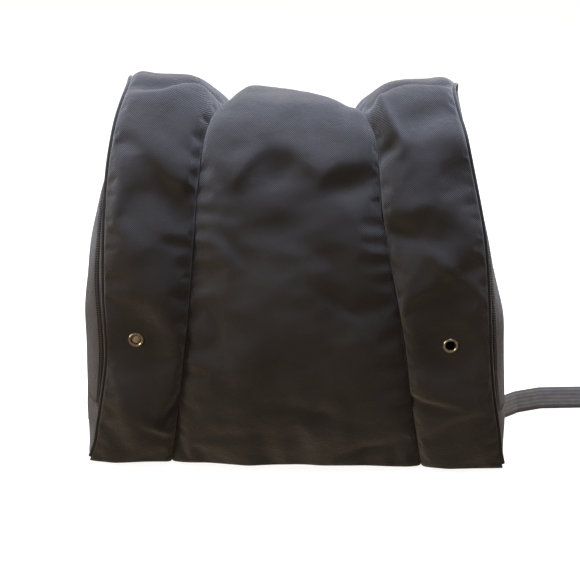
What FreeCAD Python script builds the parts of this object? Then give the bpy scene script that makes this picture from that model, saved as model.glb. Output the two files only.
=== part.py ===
import FreeCAD, Part
import math
import os

# A padded three-compartment skate bag, standing on its base, in millimetres.
# +X is the bag's right as seen from the front, +Y goes from the front to the back, +Z is up.
# The origin is the middle of the base on the floor.

# ---- Body form: one value per level, joined by straight stretches ----
LEVELS = (0.0, 70.0, 200.0, 330.0, 376.0)
FRONT_HALF_WIDTH = (214.0, 204.0, 197.0, 190.0, 176.0)
BACK_HALF_WIDTH = (214.0, 214.0, 202.0, 190.0, 176.0)
SEAM_HALF_WIDTH = (131.0, 122.0, 106.0, 90.0, 78.0)
FRONT_Y = (-72.0, -88.0, -104.0, -86.0, -60.0)
BACK_Y = (88.0, 88.0, 86.0, 84.0, 80.0)
PANEL_PUFF = (2.0, 7.0, 8.0, 7.0, 4.0)
GUSSET_BULGE = (8.0, 19.0, 21.0, 4.0, 2.0)

# ---- Walls ----
FRONT_WALL = 8.0
GUSSET_WALL = 6.0
BACK_WALL = 12.0
BASE_WALL = 8.0
BOARD_THICKNESS = 2.5
DIVIDER_THICKNESS = 3.0
TOP_WALL = 6.0
SEAM_GAP = 0.3
PIPING_RADIUS = 2.0
PIPING_OFFSET = 1.9
FAR = 400.0
GUSSET_INSIDE_X = 100.0

# ---- Tops: how far each is pulled in above its straight skirt; the whole top slopes down to the back ----
BACK_TOP_Z = 350.0
SKIRT_HEIGHT = 6.0
TOP_INSETS = (8.0, 24.0)
SIDE_TOP_RISES = (17.0, 25.0)
LID_RISES = (10.0, 14.0)
LID_SIDE_GAP = 0.8

# ---- Side doors ----
DOOR_HINGE_Z = 62.0
DOOR_TOP_RADIUS = 270.0
DOOR_FRONT_LOW = -75.0
DOOR_FRONT_HIGH = -62.0
DOOR_HIGH_Z = 345.0
DOOR_BACK_Y = 70.0
DOOR_GAP = 1.0
HINGE_STAND_OFF = 2.0
ZIP_BAND = 5.0
ZIP_LIFT = 0.3
ZIP_THICKNESS = 0.9

# ---- Lid zip, on the outside of the back ----
LID_ZIP_HALF_LENGTH = 70.0
LID_ZIP_HEIGHT = 5.0
LID_ZIP_STAND_OFF = 1.4
LID_ZIP_BELOW = 1.0
LID_ZIP_ABOVE = 1.2
LID_SLIDER_TRAVEL = 132.0
LID_SLIDER_DROP = 1.5

# ---- Zip slider and pull ----
SLIDER_SIZE = (3.2, 9.0, 13.0)
SLIDER_LIFT = 2.3
PIN_RADIUS = 0.95
PIN_STAND_OFF = 3.0
PULL_HOLE_RADIUS = 1.0
KNUCKLE_RADIUS = 2.2
PULL_WIDTH = 4.0
PULL_LENGTH = 22.0
PULL_THICKNESS = 1.6
CHEEK_THICKNESS = 1.5
CHEEK_GAP = 0.3
CHEEK_HEIGHT = 5.0
CHEEK_ROOT = 0.5
CHEEK_BEYOND_PIN = 1.0
PIN_HEIGHT = 2.5
PULL_NECK = 1.2
SIDE_SLIDER_BEHIND = 2.0
SIDE_SLIDER_LOW_Z = 84.0
SIDE_SLIDER_HIGH_Z = 300.0

# ---- Vent eyelets ----
EYELET_X = 162.0
EYELET_Z = 144.5
EYELET_TILT = 10.0
EYELET_HOLE_RADIUS = 5.0
EYELET_BARREL_RADIUS = 6.0
EYELET_FLANGE_RADIUS = 8.2
EYELET_FLANGE_THICKNESS = 1.4
EYELET_CLEARANCE = 0.3
EYELET_SEAT_DEPTH = 0.8
EYELET_SINK = 0.3
BARREL_BEYOND_WALL = 1.8
REAR_SEAT_DEPTH = 0.4
WASHER_THICKNESS = 1.2
WASHER_SINK = 0.1
WASHER_CLEARANCE = 0.05
EYELET_AIR = 5.0

# ---- Straps ----
WEBBING_WIDTH = 25.0
WEBBING_THICKNESS = 1.8
SHOULDER_WIDTH = 50.0
SHOULDER_THICKNESS = 9.0
SHOULDER_CLEARANCE = 2.0
SHOULDER_LINE = ((38.0, 256.0), (68.0, 180.0), (86.0, 112.0))
ANCHOR = (184.0, 26.0)
LADDER_SIZE = (34.0, 5.0, 26.0)
LADDER_GAP = 15.0
LADDER_BAR = 4.0
LADDER_SLOT = 4.5
LADDER_SIDE_ROOM = 1.0
HANDLE_HALF_SPAN = 48.0
HANDLE_PIVOT_Z = 298.0
HANDLE_DROP = 24.0
HANDLE_GRIP_RADIUS = 6.0
HANDLE_STAND_OFF = 8.0
HANDLE_WEBBING_WIDTH = 20.0
HANDLE_TAB_HEIGHT = 14.0
HANDLE_TAB_GAP = 1.0
HANDLE_SWING_ROOM = 0.4
STRAP_BOTTOM = 1.0
STRAP_RIGHT_ROUTE = ((220.0, 64.0), (237.0, 97.0), (262.0, 127.0), (290.0, 144.0), (345.0, 151.0),
                     (400.0, 151.0), (400.0, 135.0), (348.0, 135.0), (348.0, 119.0), (392.0, 119.0))
STRAP_LEFT_ROUTE = ((-220.0, 64.0), (-229.0, 68.0), (-229.0, 108.0), (-150.0, 118.0), (20.0, 118.0))
STRAP_BEND_RADIUS = 7.0
KEEPER_X = (362.0, 374.0)
KEEPER_THICKNESS = 1.0
KEEPER_ROOM = 0.4
KEEPER_HEIGHT_ROOM = 0.5

# ---- Side-release buckle: lengths along the strap, depths across it, heights up it ----
BUCKLE_END_GAP = 0.3
BUCKLE_EDGE = 0.5
BUCKLE_ROOT = 1.0
MALE_LENGTH = 22.0
MALE_DEPTH = 8.0
PRONG_LENGTH = 22.0
PRONG_DEPTH = 5.0
PRONG_HEIGHT = 4.0
GUIDE_LENGTH = 18.0
GUIDE_DEPTH = 3.0
GUIDE_HEIGHT = 5.0
FEMALE_LENGTH = 34.0
FEMALE_DEPTH = 11.0
FEMALE_HEIGHT = 30.0
SOCKET_START = 10.0
SOCKET_DEPTH = 6.4
SOCKET_WALL = 3.0

V = FreeCAD.Vector


def at_height(values, z):
    """The value at a height between the levels."""
    for i in range(len(LEVELS) - 1):
        if z <= LEVELS[i + 1]:
            share = (z - LEVELS[i]) / (LEVELS[i + 1] - LEVELS[i])
            return values[i] + share * (values[i + 1] - values[i])
    return values[-1]


def line(start, end):
    return Part.LineSegment(start, end).toShape()


def arc(start, middle, end):
    return Part.Arc(start, middle, end).toShape()


def box(low, high):
    size = [high[i] - low[i] for i in range(3)]
    return Part.makeBox(*size, V(*low))


def cylinder(centre, direction, radius, length):
    return Part.makeCylinder(radius, length, V(*centre), V(*direction))


def ruled(wires):
    """A closed solid with straight sides from each wire to the next."""
    return Part.makeLoft(wires, True, True)


def top_slope():
    """How far the top falls for each millimetre towards the back."""
    return (LEVELS[-1] - BACK_TOP_Z) / (BACK_Y[-1] - FRONT_Y[-1])


def below_top(shape):
    """A wall cut off along the sloping top."""
    corners = []
    for y in (-FAR, FAR):
        corners.append(V(-FAR, y, LEVELS[-1] - (y - FRONT_Y[-1]) * top_slope()))
    corners += [V(-FAR, FAR, 2 * FAR), V(-FAR, -FAR, 2 * FAR)]
    above = Part.Face(Part.makePolygon(corners + corners[:1])).extrude(V(2 * FAR, 0, 0))
    return shape.cut(above)


def mirrored(shape):
    return shape.mirror(V(0, 0, 0), V(1, 0, 0))


# ---- Padded front, in three puffed panels ----
def front_panel(left_edges, right_edges):
    wires = []
    for i, z in enumerate(LEVELS):
        left, right = left_edges[i], right_edges[i]
        middle = (left + right) / 2
        front, back = FRONT_Y[i], FRONT_Y[i] + FRONT_WALL
        puff = PANEL_PUFF[i]
        wires.append(Part.Wire([
            arc(V(left, front, z), V(middle, front - puff, z), V(right, front, z)),
            line(V(right, front, z), V(right, back, z)),
            arc(V(right, back, z), V(middle, back - puff, z), V(left, back, z)),
            line(V(left, back, z), V(left, front, z)),
        ]))
    return below_top(ruled(wires))


def side_front_panel():
    inner = [seam + SEAM_GAP / 2 for seam in SEAM_HALF_WIDTH]
    panel = front_panel(inner, FRONT_HALF_WIDTH)
    return panel.cut(eyelet_seat())


def centre_front_panel():
    edges = [seam - SEAM_GAP / 2 for seam in SEAM_HALF_WIDTH]
    return front_panel([-edge for edge in edges], edges)


# ---- Vent eyelet: a flanged barrel through the padding and a washer behind ----
def eyelet_axis():
    """The eyelet's outward direction and the middle of its flange's back face."""
    tilt = math.radians(EYELET_TILT)
    outward = V(0, -math.cos(tilt), -math.sin(tilt))
    inner = at_height(SEAM_HALF_WIDTH, EYELET_Z)
    outer = at_height(FRONT_HALF_WIDTH, EYELET_Z)
    share = (EYELET_X - (inner + outer) / 2) / ((outer - inner) / 2)
    puff = at_height(PANEL_PUFF, EYELET_Z) * (1 - share ** 2)
    return outward, V(EYELET_X, at_height(FRONT_Y, EYELET_Z) - puff, EYELET_Z)


def disc(centre, direction, radius, start, end):
    """A round slice along direction, from start to end in front of centre."""
    return cylinder(centre + direction * start, direction, radius, end - start)


def eyelet_seat():
    outward, face = eyelet_axis()
    seat = EYELET_FLANGE_RADIUS + EYELET_CLEARANCE
    hole = disc(face, outward, EYELET_BARREL_RADIUS + EYELET_CLEARANCE, -3 * FRONT_WALL, EYELET_AIR)
    front = disc(face, outward, seat, -EYELET_SEAT_DEPTH, EYELET_AIR)
    rear = disc(face, outward, seat, -3 * FRONT_WALL, -FRONT_WALL + REAR_SEAT_DEPTH)
    return hole.fuse(front).fuse(rear)


def eyelet():
    outward, face = eyelet_axis()
    flange = disc(face, outward, EYELET_FLANGE_RADIUS, -EYELET_SINK, EYELET_FLANGE_THICKNESS - EYELET_SINK)
    barrel = disc(face, outward, EYELET_BARREL_RADIUS, -FRONT_WALL - BARREL_BEYOND_WALL, 0.0)
    hole = disc(face, outward, EYELET_HOLE_RADIUS, -2 * FRONT_WALL, EYELET_AIR)
    return flange.fuse(barrel).cut(hole).removeSplitter()


def eyelet_washer():
    outward, face = eyelet_axis()
    back = WASHER_SINK - FRONT_WALL
    ring = disc(face, outward, EYELET_FLANGE_RADIUS, back - WASHER_THICKNESS, back)
    return ring.cut(disc(face, outward, EYELET_BARREL_RADIUS + WASHER_CLEARANCE, -2 * FRONT_WALL, 0.0))


# ---- Back, base and inside walls ----
def wall_between(low_x, high_x, low_y, high_y, low_z, high_z):
    """A flat-sided wall whose four edges follow the levels between two heights."""
    heights = [low_z] + [z for z in LEVELS if low_z < z < high_z] + [high_z]
    wires = []
    for z in heights:
        corners = [V(low_x(z), low_y(z), z), V(high_x(z), low_y(z), z),
                   V(high_x(z), high_y(z), z), V(low_x(z), high_y(z), z)]
        wires.append(Part.makePolygon(corners + corners[:1]))
    return ruled(wires)


def inside_front(z):
    return at_height(FRONT_Y, z) + FRONT_WALL + SEAM_GAP


def inside_back(z):
    return at_height(BACK_Y, z) - BACK_WALL - SEAM_GAP


def back_panel():
    return below_top(wall_between(
        lambda z: -at_height(BACK_HALF_WIDTH, z), lambda z: at_height(BACK_HALF_WIDTH, z),
        lambda z: at_height(BACK_Y, z) - BACK_WALL, lambda z: at_height(BACK_Y, z),
        LEVELS[0], LEVELS[-1]))


def base_half_width():
    return FRONT_HALF_WIDTH[0] - GUSSET_WALL - 2.0


def base_panel():
    half = base_half_width()
    return box((-half, inside_front(0), 0), (half, inside_back(0), BASE_WALL))


def base_board():
    half = base_half_width() - 5.0
    low = BASE_WALL + SEAM_GAP
    return box((-half, inside_front(0) + 4.0, low), (half, inside_back(0) - 4.0, low + BOARD_THICKNESS))


def divider():
    low = BASE_WALL + BOARD_THICKNESS + 2 * SEAM_GAP
    return below_top(wall_between(
        lambda z: at_height(SEAM_HALF_WIDTH, z) - DIVIDER_THICKNESS / 2,
        lambda z: at_height(SEAM_HALF_WIDTH, z) + DIVIDER_THICKNESS / 2,
        inside_front, inside_back, low, LEVELS[-1]))


# ---- Side gusset: a bulged wall cut into a door and the strips round it ----
def gusset_layer(inner, outer):
    """The right gusset's wall between two offsets from its outer face."""
    wires = []
    for i, z in enumerate(LEVELS):
        front = V(FRONT_HALF_WIDTH[i], inside_front(z), z)
        back = V(BACK_HALF_WIDTH[i], inside_back(z), z)
        middle = (front + back) * 0.5 + V(GUSSET_BULGE[i], 0, 0)
        out, into = V(outer, 0, 0), V(inner, 0, 0)
        wires.append(Part.Wire([
            arc(front + out, middle + out, back + out),
            line(back + out, back + into),
            arc(back + into, middle + into, front + into),
            line(front + into, front + out),
        ]))
    return below_top(ruled(wires))


def gusset_x(y, z):
    """The outer face of the right gusset, on its arc at that height."""
    front, back = inside_front(z), inside_back(z)
    low, high = at_height(FRONT_HALF_WIDTH, z), at_height(BACK_HALF_WIDTH, z)
    share = (y - front) / (back - front)
    return low + share * (high - low) + at_height(GUSSET_BULGE, z) * 4 * share * (1 - share)


def door_hinge_x():
    middle = (inside_front(DOOR_HINGE_Z) + inside_back(DOOR_HINGE_Z)) / 2
    return gusset_x(middle, DOOR_HINGE_Z) + HINGE_STAND_OFF


def door_prism(grow):
    """The door's outline seen from the side, grown all round, as a bar across the gusset."""
    slope = (DOOR_FRONT_HIGH - DOOR_FRONT_LOW) / (DOOR_HIGH_Z - DOOR_HINGE_Z)
    low, high = DOOR_HINGE_Z - grow, FAR
    front, back = DOOR_FRONT_LOW - grow, DOOR_BACK_Y + grow
    x = GUSSET_INSIDE_X
    corners = [V(x, front, low), V(x, back, low), V(x, back, high),
               V(x, front + slope * (high - low), high)]
    bar = Part.Face(Part.makePolygon(corners + corners[:1])).extrude(V(FAR, 0, 0))
    return bar.common(door_sweep(DOOR_TOP_RADIUS + grow))


def door_sweep(radius):
    """Everything that the door's top edge passes under as it swings."""
    return cylinder((door_hinge_x(), -FAR, DOOR_HINGE_Z), (0, 1, 0), radius, 2 * FAR)


def side_region(low_z, high_z, high_y=FAR):
    """Everything on the right side between two heights, as far back as high_y."""
    return box((GUSSET_INSIDE_X, -FAR, low_z), (FAR, high_y, high_z))


def side_door():
    return gusset_layer(-GUSSET_WALL, 0).common(door_prism(0))


def gusset_strips():
    """The fixed parts of the gusset: front strip, rear strip, top and bottom."""
    wall = gusset_layer(-GUSSET_WALL, 0)
    below = side_region(0.0, DOOR_HINGE_Z - DOOR_GAP)
    upright = wall.common(side_region(DOOR_HINGE_Z - DOOR_GAP + SEAM_GAP, FAR))
    ring = upright.common(door_sweep(DOOR_TOP_RADIUS + DOOR_GAP - SEAM_GAP)).cut(door_prism(DOOR_GAP))
    ahead = side_region(0.0, FAR, 0.0)
    return {
        "gusset_front": ring.common(ahead),
        "gusset_rear": ring.cut(ahead),
        "gusset_top": upright.cut(door_sweep(DOOR_TOP_RADIUS + DOOR_GAP)),
        "gusset_bottom": wall.common(below),
    }


def door_zip():
    """The zip's two halves, standing on the door and on the strips round it."""
    teeth = gusset_layer(ZIP_LIFT, ZIP_LIFT + ZIP_THICKNESS)
    on_door = teeth.common(door_prism(0)).cut(door_prism(-ZIP_BAND))
    on_door = on_door.common(side_region(DOOR_HINGE_Z + ZIP_BAND + SEAM_GAP, FAR))
    on_frame = teeth.common(door_prism(DOOR_GAP + ZIP_BAND)).cut(door_prism(DOOR_GAP))
    on_frame = on_frame.common(side_region(DOOR_HINGE_Z, FAR))
    return {"zip_door": on_door, "zip_frame": on_frame}


# ---- Tops ----
def top_back_y():
    return at_height(BACK_Y, BACK_TOP_Z)


def crown(low_x, high_x, high_back_x, rises, inset):
    """A pillow above the walls, pulled in as it rises and tilted down to the back.

    It is smaller by the inset on each side and at the top.
    """
    base = LEVELS[-1] + SEAM_GAP
    tilt = math.atan(top_slope())
    depth = (top_back_y() - FRONT_Y[-1]) / math.cos(tilt)
    wires = []
    for rise, pull in [(0.0, 0.0), (SKIRT_HEIGHT, 0.0)] + list(zip(rises, TOP_INSETS)):
        z = base + rise - inset
        near = inset + pull
        front, back = FRONT_Y[-1] + near, FRONT_Y[-1] + depth - near
        corners = [V(low_x + near, front, z), V(high_x - near, front, z),
                   V(high_back_x - near, back, z), V(low_x + near, back, z)]
        wires.append(Part.makePolygon(corners + corners[:1]))
    pillow = ruled(wires)
    pillow.rotate(V(0, FRONT_Y[-1], base), V(1, 0, 0), -math.degrees(tilt))
    return pillow


def top_shell(low_x, high_x, high_back_x, rises):
    outer = crown(low_x, high_x, high_back_x, rises, 0.0)
    return outer.cut(crown(low_x, high_x, high_back_x, rises, TOP_WALL))


def side_top():
    back_half = at_height(BACK_HALF_WIDTH, BACK_TOP_Z)
    return top_shell(SEAM_HALF_WIDTH[-1] + SEAM_GAP, FRONT_HALF_WIDTH[-1], back_half, SIDE_TOP_RISES)


def centre_lid():
    half = SEAM_HALF_WIDTH[-1] - LID_SIDE_GAP
    return top_shell(-half, half, half, LID_RISES)


def lid_zip_y():
    """The zip's strips stand just behind the back's top edge and the lid's rear skirt."""
    return top_back_y() + LID_ZIP_STAND_OFF


def lid_zip_strip(low_z):
    back = lid_zip_y()
    return box((-LID_ZIP_HALF_LENGTH, back, low_z),
               (LID_ZIP_HALF_LENGTH, back + ZIP_THICKNESS, low_z + LID_ZIP_HEIGHT))


# ---- Piping along the four upright edges ----
def rod(points, radius):
    """A round cord through points, with round joints."""
    solids = []
    for start, end in zip(points, points[1:]):
        run = end - start
        solids.append(Part.makeCylinder(radius, run.Length, start, run))
    solids += [Part.makeSphere(radius, point) for point in points]
    return solids[0].multiFuse(solids[1:]).removeSplitter()


def piping(half_widths, depths, side):
    """The cord just outside one upright corner; side is -1 at the front and 1 at the back."""
    top = LEVELS[-1] if side < 0 else BACK_TOP_Z
    points = []
    for z in [PIPING_RADIUS] + [level for level in LEVELS[1:] if level < top] + [top]:
        half, depth = at_height(half_widths, z), at_height(depths, z)
        points.append(V(half + PIPING_OFFSET, depth + side * PIPING_OFFSET, z))
    return rod(points, PIPING_RADIUS)


# ---- Zip slider and pull, built facing +X and then turned and moved ----
def slider():
    deep, wide, tall = SLIDER_SIZE
    plate = box((0, -wide / 2, -tall / 2), (deep, wide / 2, tall / 2))
    cheek_in = PULL_WIDTH / 2 + CHEEK_GAP
    cheek_out = deep + PIN_STAND_OFF + CHEEK_BEYOND_PIN
    cheek = box((deep - CHEEK_ROOT, cheek_in, -tall / 2),
                (cheek_out, cheek_in + CHEEK_THICKNESS, -tall / 2 + CHEEK_HEIGHT))
    other = cheek.mirror(V(0, 0, 0), V(0, 1, 0))
    half = cheek_in + CHEEK_THICKNESS / 2
    pin = cylinder((deep + PIN_STAND_OFF, -half, PIN_HEIGHT - tall / 2), (0, 1, 0), PIN_RADIUS, 2 * half)
    return plate.fuse(cheek).fuse(other).fuse(pin).removeSplitter()


def pull():
    x = SLIDER_SIZE[0] + PIN_STAND_OFF
    z = PIN_HEIGHT - SLIDER_SIZE[2] / 2
    knuckle = cylinder((x, -PULL_WIDTH / 2, z), (0, 1, 0), KNUCKLE_RADIUS, PULL_WIDTH)
    tab = box((x - PULL_THICKNESS / 2, -PULL_WIDTH / 2, z - PULL_LENGTH),
              (x + PULL_THICKNESS / 2, PULL_WIDTH / 2, z - PULL_NECK))
    hole = cylinder((x, -PULL_WIDTH, z), (0, 1, 0), PULL_HOLE_RADIUS, 2 * PULL_WIDTH)
    return knuckle.fuse(tab).cut(hole).removeSplitter()


def side_slider_place():
    """Where the right door's slider rests, leaning with the wall."""
    y = DOOR_BACK_Y + DOOR_GAP + ZIP_BAND / 2 + SIDE_SLIDER_BEHIND
    low = V(gusset_x(y, SIDE_SLIDER_LOW_Z), y, SIDE_SLIDER_LOW_Z)
    high = V(gusset_x(y, SIDE_SLIDER_HIGH_Z), y, SIDE_SLIDER_HIGH_Z)
    lean = math.degrees(math.atan2(high.x - low.x, high.z - low.z))
    start = low + V(ZIP_LIFT + ZIP_THICKNESS + SLIDER_LIFT, 0, 0)
    return FreeCAD.Placement(start, FreeCAD.Rotation(V(0, 1, 0), lean))


def lid_slider_place():
    start = V(-LID_SLIDER_TRAVEL / 2, lid_zip_y() + ZIP_THICKNESS + SLIDER_LIFT,
              BACK_TOP_Z - LID_SLIDER_DROP - SLIDER_SIZE[2] / 2)
    return FreeCAD.Placement(start, FreeCAD.Rotation(V(0, 0, 1), 90))


def placed(shape, placement):
    moved = shape.copy()
    moved.Placement = placement
    return moved


# ---- Harness on the back ----
def outside_back():
    return BACK_Y[0] + SHOULDER_CLEARANCE


def band_along_arc(points, width, low_y, high_y):
    """A flat band of one width, upright, whose middle line is the arc through three points."""
    start, middle, end = [V(x, 0, z) for x, z in points]
    centre = arc(start, middle, end).Curve.Center
    rims = []
    for side in (-width / 2, width / 2):
        rims.append([point + (point - centre).normalize() * side for point in (start, middle, end)])
    near, far = rims
    outline = Part.Wire([arc(*near), line(near[2], far[2]), arc(*reversed(far)), line(far[0], near[0])])
    band = Part.Face(outline).extrude(V(0, high_y - low_y, 0))
    band.translate(V(0, low_y, 0))
    return band


def shoulder_strap():
    low = outside_back()
    return band_along_arc(SHOULDER_LINE, SHOULDER_WIDTH, low, low + SHOULDER_THICKNESS)


def strap_direction():
    end = V(SHOULDER_LINE[2][0], 0, SHOULDER_LINE[2][1])
    return end, (V(ANCHOR[0], 0, ANCHOR[1]) - end).normalize()


def lower_webbing():
    """The adjuster webbing from the shoulder strap's lower end to the bag's bottom corner."""
    end, run = strap_direction()
    across = V(run.z, 0, -run.x) * (WEBBING_WIDTH / 2)
    start = end + run * (LADDER_SIZE[2] + LADDER_GAP + SEAM_GAP)
    stop = V(ANCHOR[0], 0, ANCHOR[1])
    corners = [start - across, start + across, stop + across, stop - across]
    band = Part.Face(Part.makePolygon(corners + corners[:1])).extrude(V(0, WEBBING_THICKNESS, 0))
    band.translate(V(0, outside_back(), 0))
    return band


def ladder_lock():
    """The plastic ladder lock between the padded strap and its webbing: a frame with two slots."""
    wide, deep, tall = LADDER_SIZE
    frame = box((-wide / 2, 0, -tall / 2), (wide / 2, deep, tall / 2))
    half = WEBBING_WIDTH / 2 + LADDER_SIDE_ROOM
    slot = box((-half, 0, 0), (half, deep, LADDER_SLOT))
    for low in (LADDER_BAR - tall / 2, tall / 2 - LADDER_BAR - LADDER_SLOT):
        cut = slot.copy()
        cut.translate(V(0, 0, low))
        frame = frame.cut(cut)
    end, run = strap_direction()
    turn = math.degrees(math.atan2(run.x, -run.z))
    middle = end + run * (LADDER_SIZE[2] / 2 + LADDER_GAP)
    return placed(frame, FreeCAD.Placement(V(middle.x, outside_back(), middle.z),
                                           FreeCAD.Rotation(V(0, 1, 0), -turn)))


def haul_handle():
    """A carry handle hanging from the back: a round grip between two webbing legs."""
    y = BACK_Y[0] + HANDLE_STAND_OFF
    grip_z = HANDLE_PIVOT_Z - HANDLE_DROP
    grip = cylinder((-HANDLE_HALF_SPAN, y, grip_z), (1, 0, 0), HANDLE_GRIP_RADIUS, 2 * HANDLE_HALF_SPAN)
    half, side = WEBBING_THICKNESS / 2, HANDLE_WEBBING_WIDTH / 2
    leg = box((HANDLE_HALF_SPAN - side, y - half, grip_z),
              (HANDLE_HALF_SPAN + side, y + half, HANDLE_PIVOT_Z))
    return grip.fuse(leg).fuse(mirrored(leg)).removeSplitter()


def handle_tab():
    """The sewn end of the handle that stays on the back."""
    side, low = HANDLE_WEBBING_WIDTH / 2, HANDLE_PIVOT_Z + SEAM_GAP
    near = BACK_Y[3] + HANDLE_TAB_GAP
    far = BACK_Y[0] + HANDLE_STAND_OFF - WEBBING_THICKNESS / 2 - HANDLE_SWING_ROOM
    return box((HANDLE_HALF_SPAN - side, near, low), (HANDLE_HALF_SPAN + side, far, low + HANDLE_TAB_HEIGHT))


# ---- Waist belt: webbing on edge along the floor ----
def ribbon(route):
    """Webbing on edge along a route on the floor, with rounded turns."""
    points = [V(x, y, STRAP_BOTTOM) for x, y in route]
    edges, last = [], points[0]
    for before, corner, after in zip(points, points[1:], points[2:]):
        into, out = (corner - before).normalize(), (after - corner).normalize()
        turn = into.getAngle(out)
        reach = STRAP_BEND_RADIUS * math.tan(turn / 2)
        start, end = corner - into * reach, corner + out * reach
        bulge = (out - into).normalize()
        depth = STRAP_BEND_RADIUS / math.cos(turn / 2) - STRAP_BEND_RADIUS
        edges += [line(last, start), arc(start, corner + bulge * depth, end)]
        last = end
    edges.append(line(last, points[-1]))
    solids = [thick_strip(edge) for edge in edges]
    return solids[0].multiFuse(solids[1:]).removeSplitter()


def thick_strip(edge):
    """One straight or round run of webbing, from its middle line."""
    half = WEBBING_THICKNESS / 2
    start, end = [vertex.Point for vertex in edge.Vertexes]
    if isinstance(edge.Curve, Part.Circle):
        centre, radius = edge.Curve.Center, edge.Curve.Radius
        rims = []
        middle = edge.valueAt((edge.FirstParameter + edge.LastParameter) / 2)
        for size in (radius - half, radius + half):
            rims.append([centre + (point - centre).normalize() * size for point in (start, middle, end)])
        near, far = rims
        outline = Part.Wire([arc(*near), line(near[2], far[2]), arc(*reversed(far)), line(far[0], near[0])])
    else:
        run = (end - start).normalize()
        across = V(-run.y, run.x, 0) * half
        corners = [start - across, end - across, end + across, start + across]
        outline = Part.makePolygon(corners + corners[:1])
    return Part.Face(outline).extrude(V(0, 0, WEBBING_WIDTH))


def centred_bar(start, length, depth, low, high):
    """A bar along the strap from start, with the strap's middle line in the middle of its depth."""
    x, y = start
    return box((x, y - depth / 2, low), (x + length, y + depth / 2, high))


def buckle_male(end):
    """Side-release buckle, the half with the prongs."""
    x, y = end
    low, high = STRAP_BOTTOM, STRAP_BOTTOM + WEBBING_WIDTH
    middle = (low + high) / 2
    body = centred_bar((x + BUCKLE_END_GAP, y), MALE_LENGTH - BUCKLE_END_GAP, MALE_DEPTH,
                       low - BUCKLE_EDGE, high + BUCKLE_EDGE)
    root = (x + MALE_LENGTH - BUCKLE_ROOT, y)
    parts = [centred_bar(root, GUIDE_LENGTH + BUCKLE_ROOT, GUIDE_DEPTH,
                         middle - GUIDE_HEIGHT / 2, middle + GUIDE_HEIGHT / 2)]
    for start in (low + BUCKLE_EDGE, high - BUCKLE_EDGE - PRONG_HEIGHT):
        parts.append(centred_bar(root, PRONG_LENGTH + BUCKLE_ROOT, PRONG_DEPTH, start, start + PRONG_HEIGHT))
    return body.multiFuse(parts).removeSplitter()


def buckle_female(end):
    """Side-release buckle, the hollow half."""
    x, y = end
    low = STRAP_BOTTOM - BUCKLE_EDGE
    high = low + FEMALE_HEIGHT
    body = centred_bar((x + BUCKLE_END_GAP, y), FEMALE_LENGTH - BUCKLE_END_GAP, FEMALE_DEPTH, low, high)
    socket = centred_bar((x + SOCKET_START, y), FEMALE_LENGTH, SOCKET_DEPTH,
                         low + SOCKET_WALL, high - SOCKET_WALL)
    return body.cut(socket)


def strap_keeper():
    """The elastic band round the folded end of the right waist strap."""
    (_, far), (_, near) = STRAP_RIGHT_ROUTE[5:7]
    room = WEBBING_THICKNESS / 2 + KEEPER_ROOM
    start, stop = KEEPER_X
    low = STRAP_BOTTOM - KEEPER_HEIGHT_ROOM
    high = STRAP_BOTTOM + WEBBING_WIDTH + KEEPER_HEIGHT_ROOM
    outer = box((start, near - room - KEEPER_THICKNESS, 0),
                (stop, far + room + KEEPER_THICKNESS, high + KEEPER_THICKNESS))
    return outer.cut(box((start, near - room, low), (stop, far + room, high)))


# ---- Sub-parts ----
def two_sided():
    """The pieces that come as a mirrored pair, built on the right."""
    place = side_slider_place()
    pieces = {
        "front_panel": side_front_panel(),
        "divider": divider(),
        "top": side_top(),
        "door": side_door(),
        "front_piping": piping(FRONT_HALF_WIDTH, FRONT_Y, -1),
        "back_piping": piping(BACK_HALF_WIDTH, BACK_Y, 1),
        "eyelet": eyelet(),
        "eyelet_washer": eyelet_washer(),
        "zip_slider": placed(slider(), place),
        "zip_pull": placed(pull(), place),
        "shoulder_strap": shoulder_strap(),
        "strap_webbing": lower_webbing(),
        "ladder_lock": ladder_lock(),
        "handle_tab": handle_tab(),
    }
    pieces.update(gusset_strips())
    pieces.update(door_zip())
    return pieces


def single_pieces():
    place = lid_slider_place()
    return {
        "centre_front_panel": centre_front_panel(),
        "back_panel": back_panel(),
        "base_panel": base_panel(),
        "base_board": base_board(),
        "centre_lid": centre_lid(),
        "lid_zip_back": lid_zip_strip(BACK_TOP_Z - LID_ZIP_HEIGHT - LID_ZIP_BELOW),
        "lid_zip_lid": lid_zip_strip(BACK_TOP_Z + LID_ZIP_ABOVE),
        "lid_zip_slider": placed(slider(), place),
        "lid_zip_pull": placed(pull(), place),
        "haul_handle": haul_handle(),
        "right_waist_strap": ribbon(STRAP_RIGHT_ROUTE),
        "left_waist_strap": ribbon(STRAP_LEFT_ROUTE),
        "buckle_male": buckle_male(STRAP_RIGHT_ROUTE[-1]),
        "buckle_female": buckle_female(STRAP_LEFT_ROUTE[-1]),
        "strap_keeper": strap_keeper(),
    }


def main():
    os.makedirs("parts", exist_ok=True)
    nodes = single_pieces()
    for name, shape in two_sided().items():
        nodes["right_" + name] = shape
        nodes["left_" + name] = mirrored(shape)
    for name, shape in nodes.items():
        shape.exportStep("parts/" + name + ".step")
        print(name, shape.isValid(), len(shape.Solids), round(shape.Volume / 1000, 2))


main()
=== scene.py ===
import bpy
import math
import numpy as np
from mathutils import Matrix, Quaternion, Vector


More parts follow.
